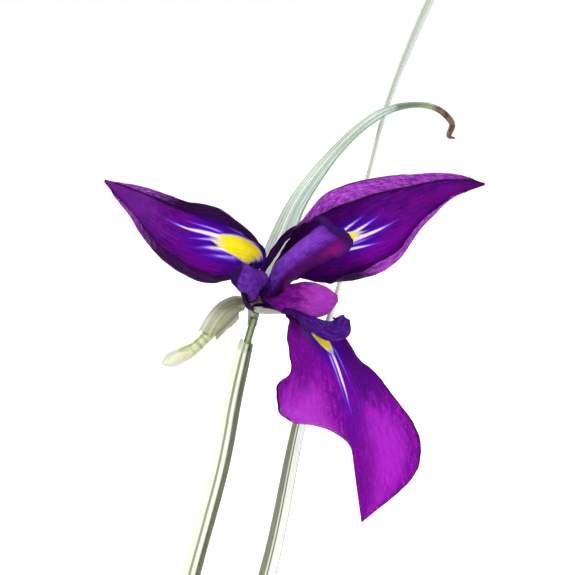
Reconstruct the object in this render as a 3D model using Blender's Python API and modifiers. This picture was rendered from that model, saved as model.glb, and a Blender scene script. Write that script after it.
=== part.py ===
# A potted iris: a plain clay pot with soil, a rhizome with a fan of leaves, one flower stem
# and one open flower with three falls, three standards and three style arms.
# Metres, +Z up. The origin is the centre of the pot's underside, and -Y is the front.
import math

import bmesh
import bpy
import numpy as np
from mathutils import Matrix

MM = 0.001
GAP = 0.3 * MM  # between pieces that touch

# Pot, soil and rhizome
POT_HEIGHT = 0.130
POT_TOP_RADIUS = 0.070
POT_BASE_RADIUS = 0.048
POT_WALL = 0.006
POT_FLOOR = 0.008
RIM_HEIGHT = 0.024
RIM_PROUD = 0.004
EDGE_CHAMFER = 0.0015
DRAIN_RADIUS = 0.005
DRAIN_CIRCLE = 0.026  # radius of the ring of drain holes
DRAIN_HOLES = 3
SOIL_BELOW_RIM = 0.014
SOIL_DOME = 0.003
SOIL_SHOULDER = (0.6, 0.3)  # share of the radius, and of the dome's fall, at its shoulder
RHIZOME_SIZE = (0.082, 0.034, 0.026)
RHIZOME_AT = (0.006, 0.0)
RHIZOME_SHOWS = 0.004
RHIZOME_ROUND = 0.009
TURN_STEPS = 36
DRAIN_STEPS = 16
DRAIN_TURN = 30  # degrees from +X to the first hole

# Plant
FLOWER_SIDE = 0.064  # throat of the flower, right of the pot's axis
FLOWER_FRONT = 0.005  # and in front of it
FLOWER_RISE = 0.2766  # and above the rhizome's top
FLOWER_SPAN = 0.133  # from tip to tip of the left and right falls
PETAL_THICK = 0.0007
LEAF_THICK = 0.0012
SHEATH_THICK = 0.0006
STEM_BASE_RADIUS = 0.0024
STEM_TOP_RADIUS = 0.0013
FILAMENT_RADIUS = 0.0005
ANTHER_RADIUS = 0.0009

# Spines and widths of the flower's pieces are in millimetres from its throat, on a flower
# of this span, and the tall pieces' own lists are in millimetres too.
DESIGN_SPAN = 0.133
DESIGN_RISE = 0.2766
FLOWER_HANG = 0.080            # the flower's own reach below the throat, at the design size

SOIL_TOP = POT_HEIGHT - SOIL_BELOW_RIM
CROWN = SOIL_TOP + RHIZOME_SHOWS
THROAT = np.array([FLOWER_SIDE, -FLOWER_FRONT, CROWN + FLOWER_RISE])
BLOOM = FLOWER_SPAN / DESIGN_SPAN
TUBE_AXIS = np.array([0.45, -0.84, 0.28]) / np.linalg.norm([0.45, -0.84, 0.28])

COLOURS = {
    "clay": ((0.56, 0.25, 0.14), 0.85),
    "soil": ((0.06, 0.04, 0.03), 0.95),
    "bark": ((0.27, 0.18, 0.09), 0.85),
    "leaf": ((0.25, 0.42, 0.16), 0.5),
    "stem": ((0.42, 0.52, 0.24), 0.5),
    "sheath": ((0.66, 0.70, 0.48), 0.55),
    "fall": ((0.25, 0.02, 0.42), 0.5),
    "standard": ((0.36, 0.03, 0.40), 0.5),
    "style": ((0.16, 0.04, 0.42), 0.5),
    "anther": ((0.80, 0.68, 0.25), 0.6),
}


def material(name):
    found = bpy.data.materials.get(name)
    if found:
        return found
    colour, roughness = COLOURS[name]
    made = bpy.data.materials.new(name)
    made.use_nodes = True
    shader = made.node_tree.nodes["Principled BSDF"]
    shader.inputs["Base Color"].default_value = (*colour, 1)
    shader.inputs["Roughness"].default_value = roughness
    shader.inputs["Metallic"].default_value = 0
    return made


def smooth(stations, at):
    """Evenly spaced stations, joined by a Catmull-Rom curve and read at a share of its length."""
    values = np.array(stations, float)
    place = np.clip(at, 0, 1) * (len(values) - 1)
    i = min(int(place), len(values) - 2)
    t = place - i
    before = values[i - 1] if i else 2 * values[0] - values[1]
    after = values[i + 2] if i + 2 < len(values) else 2 * values[-1] - values[-2]
    first, second = values[i], values[i + 1]
    return (
        first
        + t * (second - before) / 2
        + t * t * (before - 2.5 * first + 2 * second - after / 2)
        + t * t * t * (1.5 * (first - second) + (after - before) / 2)
    )


def unit(vector):
    return vector / np.linalg.norm(vector)


def eased(value, start):
    share = min(max((value - start) / (1 - start), 0), 1)
    return share * share * (3 - 2 * share)


def section(width, hinge, cup, roll, roll_start, share, steps=16):
    """How far across and how far up a point lies that is this share of the way to an edge.
    The blade leaves the midrib at hinge, bends steadily by cup and curls by roll at the edge."""
    across = up = 0.0
    for k in range(steps):
        s = share * (k + 0.5) / steps
        angle = math.radians(hinge + cup * s + roll * eased(s, roll_start))
        across += math.cos(angle) * width * share / steps
        up += math.sin(angle) * width * share / steps
    return across, up


def place(name, mesh, collection, finish):
    found = bpy.data.objects.new(name, mesh)
    mesh.materials.append(material(finish))
    collection.objects.link(found)
    return found


def ribbon(name, finish, spine, face, left, right, along, across, thick, collection,
           hinge=((0, 0), (0, 0)), cup=((0, 0), (0, 0)), roll=((0, 0), (0, 0)),
           roll_start=0.6, notch=0.0):
    """A thin blade along a spine. Faces tell which way its upper side looks, and the widths run
    from the midrib to each edge. Hinge, cup and roll are stations of (left, right) angles."""
    mesh = bpy.data.meshes.new(name)
    grid = bmesh.new()
    bmesh.ops.create_grid(grid, x_segments=along, y_segments=across, size=1)
    step = 0.5 / along
    for vert in grid.verts:
        at, side = (vert.co.x + 1) / 2, vert.co.y
        share = abs(side)
        row = at - notch * eased(at, 0.5) * abs(2 * share - 1) if notch else at
        tangent = unit(smooth(spine, min(row + step, 1)) - smooth(spine, max(row - step, 0)))
        up = smooth(face, row)
        up = unit(up - tangent * up.dot(tangent))
        sideways = np.cross(tangent, up)
        width = smooth(right if side > 0 else left, row)
        column = 1 if side > 0 else 0
        bend = [smooth(stations, row)[column] for stations in (hinge, cup, roll)]
        out, lift = section(width, *bend, roll_start, share)
        vert.co = smooth(spine, row) + sideways * (out if side > 0 else -out) + up * lift
    grid.to_mesh(mesh)
    grid.free()
    mesh.shade_smooth()
    made = place(name, mesh, collection, finish)
    shell = made.modifiers.new("thickness", "SOLIDIFY")
    shell.thickness = thick
    shell.offset = 0
    shell.use_even_offset = False
    return made


def tube(name, finish, points, radii, collection, sides=2, count=12, tilt=0.0):
    """A round stem through the points, with a radius that runs through its own stations."""
    curve = bpy.data.curves.new(name, "CURVE")
    curve.dimensions = "3D"
    curve.bevel_depth = 1.0
    curve.bevel_resolution = sides
    curve.use_fill_caps = True
    spline = curve.splines.new("POLY")
    spline.points.add(count - 1)
    for k, point in enumerate(spline.points):
        share = k / (count - 1)
        point.co = (*smooth(points, share), 1)
        point.radius = float(smooth(radii, share))
        point.tilt = tilt
    curve.materials.append(material(finish))
    made = bpy.data.objects.new(name, curve)
    collection.objects.link(made)
    return made


def turned(name, finish, profile, closed, collection):
    """A solid of revolution from its profile in the XZ plane, outer side first."""
    mesh = bpy.data.meshes.new(name)
    outline = bmesh.new()
    verts = [outline.verts.new((radius, 0, height)) for radius, height in profile]
    ends = verts[1:] + verts[:1] if closed else verts[1:]
    for first, second in zip(verts, ends):
        outline.edges.new((first, second))
    outline.to_mesh(mesh)
    outline.free()
    made = place(name, mesh, collection, finish)
    screw = made.modifiers.new("turn", "SCREW")
    screw.steps = screw.render_steps = TURN_STEPS
    screw.use_normal_calculate = True
    screw.use_merge_vertices = True
    screw.merge_threshold = 0.1 * MM
    return made


def pot_radius(height):
    """Outer radius of the pot's tapered wall at a height."""
    share = height / POT_HEIGHT
    return POT_BASE_RADIUS + (POT_TOP_RADIUS - POT_BASE_RADIUS) * share


def drain_cutter(collection):
    """The rods that cut the ring of drain holes through the pot's floor."""
    mesh = bpy.data.meshes.new("drain")
    rods = bmesh.new()
    for k in range(DRAIN_HOLES):
        turn = math.radians(DRAIN_TURN) + 2 * math.pi * k / DRAIN_HOLES
        at = Matrix.Translation((DRAIN_CIRCLE * math.cos(turn), DRAIN_CIRCLE * math.sin(turn), 0))
        bmesh.ops.create_cone(rods, cap_ends=True, segments=DRAIN_STEPS, radius1=DRAIN_RADIUS,
                              radius2=DRAIN_RADIUS, depth=4 * POT_FLOOR, matrix=at)
    rods.to_mesh(mesh)
    rods.free()
    return place("drain", mesh, collection, "clay")


def cut(solid, cutter):
    cutter.hide_render = True
    cutter.display_type = "WIRE"
    hole = solid.modifiers.new(cutter.name, "BOOLEAN")
    hole.operation = "DIFFERENCE"
    hole.solver = "EXACT"
    hole.object = cutter


def pot(collection, cutter):
    rim_foot = POT_HEIGHT - RIM_HEIGHT
    inside = pot_radius(POT_FLOOR) - POT_WALL
    mouth = pot_radius(POT_HEIGHT) - POT_WALL
    profile = [
        (mouth + EDGE_CHAMFER, POT_HEIGHT),
        (pot_radius(POT_HEIGHT) + RIM_PROUD - EDGE_CHAMFER, POT_HEIGHT),
        (pot_radius(POT_HEIGHT) + RIM_PROUD, POT_HEIGHT - EDGE_CHAMFER),
        (pot_radius(rim_foot) + RIM_PROUD, rim_foot + EDGE_CHAMFER),
        (pot_radius(rim_foot) + RIM_PROUD - EDGE_CHAMFER, rim_foot),
        (pot_radius(rim_foot), rim_foot),
        (POT_BASE_RADIUS, EDGE_CHAMFER),
        (POT_BASE_RADIUS - EDGE_CHAMFER, 0),
        (0, 0),
    ]
    hollow = [
        (0, POT_FLOOR),
        (inside, POT_FLOOR),
        (mouth, POT_HEIGHT - EDGE_CHAMFER),
    ]
    cut(turned("pot", "clay", hollow + profile, False, collection), cutter)


def soil(collection, cutter):
    """The potting soil: it fills the pot up to below the rim and leaves a bed for the rhizome."""
    def fill(height):
        wall = POT_HEIGHT - EDGE_CHAMFER - POT_FLOOR
        flare = pot_radius(POT_HEIGHT) - pot_radius(POT_FLOOR)
        return pot_radius(POT_FLOOR) + flare * (height - POT_FLOOR) / wall - POT_WALL - GAP

    bottom = POT_FLOOR + GAP
    edge = SOIL_TOP - SOIL_DOME
    profile = [
        (0, SOIL_TOP),
        (fill(edge) * SOIL_SHOULDER[0], SOIL_TOP - SOIL_DOME * SOIL_SHOULDER[1]),
        (fill(edge), edge),
        (fill(bottom), bottom),
        (0, bottom),
    ]
    cut(turned("potting_soil", "soil", profile, False, collection), cutter)


def rhizome_block(name, grow, collection):
    """The rhizome's rounded bar, grown on every side by a clearance."""
    mesh = bpy.data.meshes.new(name)
    block = bmesh.new()
    bmesh.ops.create_cube(block, size=1)
    size = [length + 2 * grow for length in RHIZOME_SIZE]
    bmesh.ops.scale(block, vec=size, verts=block.verts)
    bmesh.ops.bevel(block, geom=list(block.edges), offset=RHIZOME_ROUND, segments=3,
                    profile=0.5, affect="EDGES", clamp_overlap=True)
    block.to_mesh(mesh)
    block.free()
    made = place(name, mesh, collection, "bark")
    made.location = (*RHIZOME_AT, CROWN - RHIZOME_SIZE[2] / 2)
    return made


def from_throat(points):
    """Points in millimetres from the throat, as places in the model. The flower's own points
    grow with it, and the lower ones go over to the rise and the foot that the stem keeps."""
    placed = []
    for x, y, z in points:
        depth = min(max((-z * MM - FLOWER_HANG) / (DESIGN_RISE - FLOWER_HANG), 0), 1)
        spread = BLOOM + (1 - BLOOM) * depth
        drop = depth * (FLOWER_RISE - BLOOM * DESIGN_RISE)
        placed.append(THROAT + MM * np.array([x * spread, y * spread, z * BLOOM])
                      - np.array([0, 0, drop]))
    return placed


def spoke(azimuth):
    """Away from the tube's axis, 0 to the right and 90 up as seen from its open end."""
    right = unit(np.cross([0, 0, 1], TUBE_AXIS))
    upward = np.cross(TUBE_AXIS, right)
    turn = math.radians(azimuth)
    return right * math.cos(turn) + upward * math.sin(turn)


def throat_points(azimuth, ring):
    """Where a piece of a whorl starts, and where it leaves the widening throat."""
    return [THROAT + (TUBE_AXIS * rise + spoke(azimuth) * ring * spread) * BLOOM * MM
            for rise, spread in zip(WHORL_RISE, WHORL_SPREAD)]


# Azimuths of the whorls round the tube's axis: falls, styles and stamens share theirs.
FALL_AZIMUTH = {"left": 150, "right": 30, "lower": 270}
STANDARD_AZIMUTH = {"upper": 90, "right": 330, "rear": 210}
FALL_RING = 3.8
STANDARD_RING = 4.1
STAMEN_RING = 2.6
STYLE_RING = 1.4
WHORL_RISE = (1.4, 5)
WHORL_SPREAD = (1, 1.35)

FALLS = {
    "left": {
        "spine": [(-3.2, -2.8, 9), (-1, -7, 15.5), (-6, -9, 20), (-15, -8, 23), (-26, -5, 26),
                  (-39, 3, 33), (-53, 13, 40)],
        "face": [(0.9, -0.5, -0.15), (0.4, -1, 0.1), (0, -1, 0), (0, -1, 0.1), (0, -1, 0.2),
                 (0, -1, 0.2), (0, -1, 0.2)],
        "left": [2.2, 1.2, 2, 8.5, 15, 18, 15, 8, 0.5],
        "right": [2.2, 2.2, 2.6, 5, 9.5, 13, 12.5, 7.5, 0.5],
        "cup": [(35, 35), (35, 35), (35, 35), (25, 25), (10, 10), (10, 10), (10, 10),
                (10, 10), (0, 0)],
        "roll": [(0, 0), (0, 0), (0, 0), (60, 60), (110, 110), (110, 120), (110, 140),
                 (90, 130), (30, 40)],
    },
    "right": {
        "spine": [(10, -3, 11), (20, -6, 17), (31, -8, 22), (43, -8, 27), (55, -3, 32),
                  (67, 4, 37), (80, 12, 39)],
        "face": [(-0.3, -0.7, 0.6), (0, -1, 0.3), (0, -1, 0.1), (0, -1, 0), (0, -1, 0),
                 (0, -1, 0), (0, -1, 0)],
        "left": [2.2, 2.8, 5, 13, 20.5, 21, 16, 9.5, 0.5],
        "right": [2.2, 2.8, 4, 10, 15, 15, 6, 2.5, 0.5],
        "cup": [(35, 35), (35, 35), (30, 30), (15, 15), (10, 10), (10, 10), (10, 10),
                (0, 0)],
        "roll": [(0, 0), (0, 0), (60, 60), (140, 140), (140, 150), (120, 140), (40, 40)],
    },
    "lower": {
        "spine": [(13, -14, -2), (19, -19, -6), (26, -22, -13), (30, -24, -24),
                  (32, -22, -37), (34, -19, -54), (37, -15, -76)],
        "face": [(0.2, -0.2, 1), (0.4, -0.4, 0.9), (0.5, -0.8, 0.5), (0.4, -1, 0.2),
                 (0.2, -1, 0), (0.2, -1, 0), (0.2, -1, 0)],
        "left": [2.2, 2.6, 3, 3.4, 3.8, 4.2, 5, 6, 6.5, 7.5, 12, 17, 21, 25, 26, 20, 0.5],
        "right": [2.2, 3, 5, 15, 23, 25, 22, 15, 0.5],
        "hinge": [(0, 0)] * 11 + [(0, -20), (0, -50), (0, -100), (0, -150), (0, -150),
                                  (0, -150)],
        "cup": [(35, 35), (30, 40), (20, 30), (-10, 10), (-15, 5), (-15, 0), (-15, 0),
                (-15, 0), (0, 0)],
    },
}

STANDARDS = {
    "right": {
        "spine": [(11.5, -6.5, 3.1), (17, -10.5, 3.3), (23, -14, 3.4), (29, -15.5, 4.6)],
        "face": [(0.1, -0.6, 0.8), (0.2, -1, 0.5), (0.2, -1, 0.4), (0.2, -1, 0.4)],
        "left": [1, 1.6, 3, 4.8, 5.8, 1.5],
        "right": [1, 1.6, 2.8, 4, 4.8, 1.5],
        "cup": [(14, 14), (17, 17), (20, 20), (-10, -10), (-20, -20), (-20, -20)],
    },
    "upper": {
        "spine": [(3, 1.5, 10), (6, 5, 13.5), (10, 6, 19.5), (15, 6, 23.8), (20.5, 5, 26)],
        "face": [(0.5, -1, 0), (0.4, -1, 0.2), (0.3, -1, 0.3), (0, -1, 0.6), (0, -1, 0.6)],
        "left": [1, 1.5, 2, 2.2, 2.2, 1.8, 0.5],
        "right": [1, 1.5, 2, 2.2, 2.2, 1.8, 0.5],
        "cup": [(14, 14), (17, 17), (20, 20)],
    },
    "rear": {
        "spine": [(-4.8, -3.5, -1), (-6.5, 1.5, 3.5), (-7.5, 5, 9), (-9, 7, 15), (-10, 8, 19)],
        "face": [(0.9, 0.3, 0.1), (0.9, 0, -0.2), (0.6, -0.8, 0.1), (0.2, -1, 0.2),
                 (0, -1, 0.2)],
        "left": [1, 1.4, 1.6, 2, 3, 3, 0.5],
        "right": [1, 1.4, 1.6, 2, 3, 3, 0.5],
        "cup": [(14, 14), (17, 17), (10, 10)],
    },
}

STYLES = {
    "right": {
        "spine": [(8, -9, 12), (15, -14, 20), (22, -17.5, 26), (27, -18.5, 29),
                  (29.5, -17.5, 31.5)],
        "face": [(-0.3, -1, 0.5), (-0.3, -1, 0.5), (-0.3, -1, 0.5), (-0.5, -0.6, 1),
                 (-1, 0, 1)],
        "left": [1.2, 2, 4.5, 7, 8, 8, 3],
        "right": [1.2, 2, 6, 10, 11, 9.5, 3],
        "cup": [(-50, -50), (-60, -60), (-70, -70), (-80, -80), (-75, -75), (-50, -50),
                (-10, -10)],
        "notch": 0.08,
    },
    "left": {
        "spine": [(1, -9.8, 6.6), (0.7, -14, 10), (-1.5, -17, 12), (-5.5, -18, 13),
                  (-8.5, -17, 13)],
        "face": [(0.2, -0.6, 1), (0.1, -0.6, 1), (0.2, -0.8, 0.8), (0.2, -1, 0.4),
                 (0, -1, 0.4)],
        "left": [1.2, 1.6, 2.8, 4.5, 5.5, 5, 3],
        "right": [1.2, 1.6, 2.8, 4.5, 5.5, 5, 3],
        "cup": [(-50, -50), (-60, -60), (-60, -60), (-50, -50), (-30, -30), (0, 0)],
        "notch": 0.08,
    },
    "lower": {
        "spine": [(7, -11, 0.8), (14, -17.5, 0.8), (21, -22.5, -1), (26, -24, -3),
                  (30, -23, -3)],
        "face": [(0.2, 0, 1), (0.3, 0, 1), (0.3, -0.3, 1), (0, -0.8, 0.8), (0, -1, 0.2)],
        "left": [1.2, 2, 3, 4, 4.5, 5, 3],
        "right": [1.2, 2, 3, 4, 4.5, 5, 3],
        "cup": [(-40, -40), (-50, -50), (-40, -40), (-30, -30), (-20, -20), (0, 0)],
        "notch": 0.08,
    },
}

# Each stamen follows the underside of its style arm, at these distances from the arm's spine.
STAMEN_SHARES = (0.36, 0.48, 0.6, 0.7)
STAMEN_BELOW = (1.6, 1.7, 1.8, 1.7)
STAMEN_STEP = 0.02  # share of the arm over which its direction is read


def whorl(name, entry, azimuth, ring, finish, along, across, collection):
    """One petal-like piece, from its place on the throat's ring along its own spine."""
    flat = ((0, 0), (0, 0))
    spine = throat_points(azimuth, ring) + from_throat(entry["spine"])
    ribbon(
        name, finish, spine, [-spoke(azimuth)] * 2 + entry["face"],
        [BLOOM * MM * w for w in entry["left"]], [BLOOM * MM * w for w in entry["right"]],
        along, across, PETAL_THICK, collection, hinge=entry.get("hinge", flat),
        cup=entry["cup"], roll=entry.get("roll", flat), notch=entry.get("notch", 0.0),
    )


def flower(collection):
    for side, entry in FALLS.items():
        whorl(f"fall_{side}", entry, FALL_AZIMUTH[side], FALL_RING, "fall", 22, 10, collection)
    for side, entry in STANDARDS.items():
        whorl(f"standard_{side}", entry, STANDARD_AZIMUTH[side], STANDARD_RING, "standard",
              10, 6, collection)
    for side, entry in STYLES.items():
        whorl(f"style_arm_{side}", entry, FALL_AZIMUTH[side], STYLE_RING, "style",
              12, 6, collection)
    for side, entry in STYLES.items():
        arm = throat_points(FALL_AZIMUTH[side], STYLE_RING) + from_throat(entry["spine"])
        path = throat_points(FALL_AZIMUTH[side], STAMEN_RING)
        faces = [-spoke(FALL_AZIMUTH[side])] * 2 + entry["face"]
        for share, below in zip(STAMEN_SHARES, STAMEN_BELOW):
            along = unit(smooth(arm, share + STAMEN_STEP) - smooth(arm, share - STAMEN_STEP))
            up = smooth(faces, share)
            up = unit(up - along * up.dot(along))
            path.append(smooth(arm, share) - up * below * BLOOM * MM)
        slim, stout = FILAMENT_RADIUS * BLOOM, ANTHER_RADIUS * BLOOM
        tube(f"stamen_{side}", "anther", path, [slim, slim, slim, slim, stout, stout, slim],
             collection, sides=1, count=12)


STEM_PATH = [(-60, 5, -276), (-59, 4.5, -256), (-50, 0, -205), (-39, -4, -160),
             (-23.5, -5, -100), (-13, -2, -61), (-8.2, 1, -36.3), (-4.8, 4, -21.5),
             (-2.7, 5, -14.7), (-1.4, 5.3, -10.2), (-0.6, 5.2, -7.6)]
STEM_RADII = [STEM_BASE_RADIUS, 0.0015, 0.0013, STEM_TOP_RADIUS]
SHEATH_SHARES = (0.24, 0.79)
SHEATH_STATIONS = 12
SHEATH_RADII = [2.6, 2.6, 2.6, 2.4, 2.1, 1.9]
TUBE_PATH = [(-0.5, 5.1, -6.3), (-1.3, 5.2, -4.2), (-1.8, 4, -1.9), (-1.3, 2.4, -0.8),
             (0, 0, 0)]
TUBE_RADII = [1.4, 2.3, 2.8, 3, 4.4]
SPATHE_PATH = [(-5.2, 4.2, -3), (-7, 4, -3.6), (-9.5, 3.4, -5), (-12.7, 2.5, -7.9),
               (-15.8, 1, -11.5)]
SPATHE_RADII = [1.2, 2.8, 3.8, 4.1, 3.6]
BUD_PATH = [(-8.4, 3.7, -4.4), (-9.8, 3.3, -5.2), (-12.7, 2.5, -7.9), (-16.9, 1.5, -13),
            (-19.7, 1, -15.7), (-23.2, 0.5, -18.4), (-28.1, 0, -20.8), (-33, -1, -22.7)]
BUD_RADII = [0.6, 1.2, 2.4, 2.5, 2.9, 3, 2.9, 0.9]
TALL_LEAF = {
    "spine": [(-34, 10, -275.8), (-33.5, 9.6, -256), (-26, 5, -205), (-15, 0, -160),
              (3.9, -2, -99.5), (15.5, 11, -46), (29, 22, 0), (40, 31, 40), (46, 36, 62),
              (54, 39, 83), (62, 41, 101), (71, 41, 118), (79, 40, 133), (89, 39, 146)],
    "face": [(0, -1, 0)] * 5 + [(0.3, -1, 0), (1, -0.3, 0), (1, -0.2, 0), (1, -0.4, 0),
                                (1, -0.6, 0), (1, -0.8, 0), (1, -1, 0), (1, -1, 0),
                                (1, -1, 0)],
    "width": [3.5, 4, 5, 4.6, 3.2, 2.6, 2.2, 2, 2, 2.2, 2.2, 2, 1.2, 0.3],
}
ARCHING_LEAF = {
    "spine": [(-1.6, 7.9, -11), (0, 11, -3), (4, 17, 7), (9, 20, 18), (15.3, 24, 31.5),
              (26.5, 27, 46.3), (37.5, 29, 57), (47.3, 29, 63), (58, 27, 65), (65, 25, 63.5),
              (69, 23, 59), (68, 21, 55), (70, 20, 54)],
    "face": [(0, -1, 0.4), (0, -1, 0.2)],
    "width": [1.6, 2.6, 3.6, 4.4, 3.2, 2.2, 1.7, 1.4, 1, 1.1, 1.3, 0.9, 0.3],
}

# Basal leaves: foot on the rhizome (x, y in mm), height, lean to the right (+) or left (-) at
# the tip, sway to the back, and half width.
BASAL_LEAVES = {
    "a": ((-5, 4.5), 285, -120, 18, 6.5),
    "b": ((-10, -4), 235, -88, -16, 6),
    "c": ((-16, 1), 180, -105, 4, 6),
    "d": ((12, -5), 125, 52, -24, 5.5),
    "e": ((19, 3), 145, 30, 30, 5.5),
    "f": ((37, -4), 130, 78, -6, 5.5),
    "g": ((-24, -4), 110, -70, -26, 5),
    "h": ((37, 2), 92, 70, 22, 4.5),
}
LEAF_RISE = (0, 0.12, 0.32, 0.55, 0.78, 0.94, 1)
LEAF_BEND = (0, 0, 0.07, 0.24, 0.5, 0.8, 1)
LEAF_WIDTHS = (0.75, 0.9, 1, 1, 0.8, 0.45, 0.06)


def basal_leaf(label, foot, height, lean, sway, width, collection):
    """A leaf that leaves the rhizome upright and arches over towards its tip."""
    stature = FLOWER_RISE / DESIGN_RISE
    spine = [np.array([foot[0] + lean * bend, foot[1] + sway * bend, height * rise * stature])
             * MM + np.array([0, 0, CROWN + GAP]) for rise, bend in zip(LEAF_RISE, LEAF_BEND)]
    widths = [MM * width * share for share in LEAF_WIDTHS]
    ribbon(f"basal_leaf_{label}", "leaf", spine, [(0, -1, 0), (0, -1, 0)], widths, widths,
           14, 2, LEAF_THICK, collection, hinge=((14, 14), (4, 4)))


def wrapped(name, path, radii, face, wrap, along, collection):
    """A leaf rolled into a tube round a path of places, open on the side it faces."""
    spine = []
    for i, (point, radius) in enumerate(zip(path, radii)):
        tangent = unit(path[min(i + 1, len(path) - 1)] - path[max(i - 1, 0)])
        inward = np.array(face, float)
        inward = unit(inward - tangent * inward.dot(tangent))
        spine.append(point - inward * radius)
    widths = [radius * math.radians(wrap) for radius in radii]
    ribbon(name, "sheath", spine, [face, face], widths, widths, along, 8, SHEATH_THICK,
           collection, cup=((wrap, wrap), (wrap, wrap)))


def stems(collection):
    stem = from_throat(STEM_PATH)
    tube("flower_stem", "stem", stem, STEM_RADII, collection, count=30)
    tube("perianth_tube", "stem", from_throat(TUBE_PATH),
         [BLOOM * MM * radius for radius in TUBE_RADII], collection, sides=3, count=8)
    shares = np.linspace(0, 1, SHEATH_STATIONS)
    start, end = SHEATH_SHARES
    wrapped("stem_sheath", [smooth(stem, start + (end - start) * share) for share in shares],
            [MM * smooth(SHEATH_RADII, share) for share in shares], (0.8, -0.6, 0), 150, 18,
            collection)
    wrapped("spathe", from_throat(SPATHE_PATH), [BLOOM * MM * r for r in SPATHE_RADII],
            (0.3, 0.2, -1), 150, 8, collection)
    tube("side_bud", "sheath", from_throat(BUD_PATH), [BLOOM * MM * r for r in BUD_RADII],
         collection, count=14)
    for name, leaf, along in (("tall_leaf", TALL_LEAF, 28), ("arching_leaf", ARCHING_LEAF, 24)):
        widths = [MM * width for width in leaf["width"]]
        ribbon(name, "leaf", from_throat(leaf["spine"]), leaf["face"], widths, widths,
               along, 2, LEAF_THICK, collection)
    for label, entry in BASAL_LEAVES.items():
        basal_leaf(label, *entry, collection)


def main():
    for found in list(bpy.data.objects):
        bpy.data.objects.remove(found, do_unlink=True)
    parts = bpy.data.collections.new("potted_iris")
    cutters = bpy.data.collections.new("cutters")
    for collection in (parts, cutters):
        bpy.context.scene.collection.children.link(collection)
    pot(parts, drain_cutter(cutters))
    soil(parts, rhizome_block("rhizome_bed", GAP, cutters))
    rhizome_block("rhizome", 0, parts)
    stems(parts)
    flower(parts)


main()
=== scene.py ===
# A potted iris in flower: clay pot, soil, rhizome, fan of leaves, sheathed stem, bud and one bloom.
import math
import random

import bmesh
import bpy
import numpy as np
from mathutils import Matrix, Vector, noise


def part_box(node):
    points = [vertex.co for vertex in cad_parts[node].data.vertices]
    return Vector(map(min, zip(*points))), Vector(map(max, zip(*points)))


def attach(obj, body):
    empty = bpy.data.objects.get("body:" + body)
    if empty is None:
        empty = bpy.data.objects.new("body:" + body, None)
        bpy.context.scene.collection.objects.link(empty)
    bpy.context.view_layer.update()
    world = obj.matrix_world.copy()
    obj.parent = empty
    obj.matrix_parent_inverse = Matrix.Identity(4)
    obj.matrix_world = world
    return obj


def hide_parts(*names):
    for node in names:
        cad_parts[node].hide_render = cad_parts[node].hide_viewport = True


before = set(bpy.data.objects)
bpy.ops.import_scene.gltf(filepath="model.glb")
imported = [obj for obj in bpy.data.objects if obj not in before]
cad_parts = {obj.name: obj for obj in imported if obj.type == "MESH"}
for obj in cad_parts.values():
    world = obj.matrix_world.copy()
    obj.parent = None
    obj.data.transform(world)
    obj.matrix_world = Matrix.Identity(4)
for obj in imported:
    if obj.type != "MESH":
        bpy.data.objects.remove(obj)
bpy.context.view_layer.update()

mm = 0.001


# ---- measuring on the frame ----

def spot(node, shares):  # a place inside a node's box
    low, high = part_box(node)
    return np.array([low[i] + (high[i] - low[i]) * shares[i] for i in range(3)])


throat = spot("perianth_tube", (0.536, 0.25, 0.62))  # where the petals leave the tube
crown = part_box("rhizome")[1].z
designSpan = 0.1336  # the two upper falls from tip to tip, at the size of the points below
bloom = (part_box("fall_right")[1].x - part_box("fall_left")[0].x) / designSpan
print("frame loaded: throat at", [round(float(v), 4) for v in throat], "bloom", round(bloom, 3))


def fromThroat(points):
    return [throat + bloom * mm * np.array(point, float) for point in points]


# ---- curves ----

def smooth(stations, at):  # even stations joined by a Catmull-Rom curve
    values = np.array(stations, float)
    place = min(max(at, 0), 1) * (len(values) - 1)
    i = min(int(place), len(values) - 2)
    t = place - i
    before = values[i - 1] if i else 2 * values[0] - values[1]
    after = values[i + 2] if i + 2 < len(values) else 2 * values[-1] - values[-2]
    first, second = values[i], values[i + 1]
    return (first + t * (second - before) / 2
            + t * t * (before - 2.5 * first + 2 * second - after / 2)
            + t * t * t * (1.5 * (first - second) + (after - before) / 2))


def unit(vector):
    return vector / np.linalg.norm(vector)


def square(vector, axis):  # the part of a direction that stands at right angles to an axis
    return unit(vector - axis * vector.dot(axis))


def heading(line, i):  # the way a line runs at one of its points
    return unit(line[min(i + 1, len(line) - 1)] - line[max(i - 1, 0)])


def measured(spine, rows):  # points along a spine, and the length up to each
    line = np.array([smooth(spine, k / rows) for k in range(rows + 1)])
    return line, np.concatenate([[0], np.cumsum(np.linalg.norm(np.diff(line, axis=0), axis=1))])


def eased(value, start, end=1.0):
    share = np.clip((value - start) / (end - start), 0, 1)
    return share * share * (3 - 2 * share)


def ripple(*place):
    return noise.noise(Vector(place))


def seedOf(name):
    return sum(map(ord, name)) * 0.37


# ---- finishes ----

class Wire:  # one output of a node; sums on it add Math nodes
    def __init__(self, finish, socket):
        self.finish, self.socket = finish, socket

    def maths(self, operation, first, second=0.0):
        return self.finish.node("ShaderNodeMath", {"operation": operation}, {0: first, 1: second})

    def __add__(self, other):
        return self.maths("ADD", self, other)

    def __sub__(self, other):
        return self.maths("SUBTRACT", self, other)

    def __rsub__(self, other):
        return self.maths("SUBTRACT", other, self)

    def __mul__(self, other):
        return self.maths("MULTIPLY", self, other)

    def __truediv__(self, other):
        return self.maths("DIVIDE", self, other)

    def __pow__(self, other):
        return self.maths("POWER", self, other)

    def __abs__(self):
        return self.maths("ABSOLUTE", self)

    __radd__ = __add__
    __rmul__ = __mul__


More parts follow.
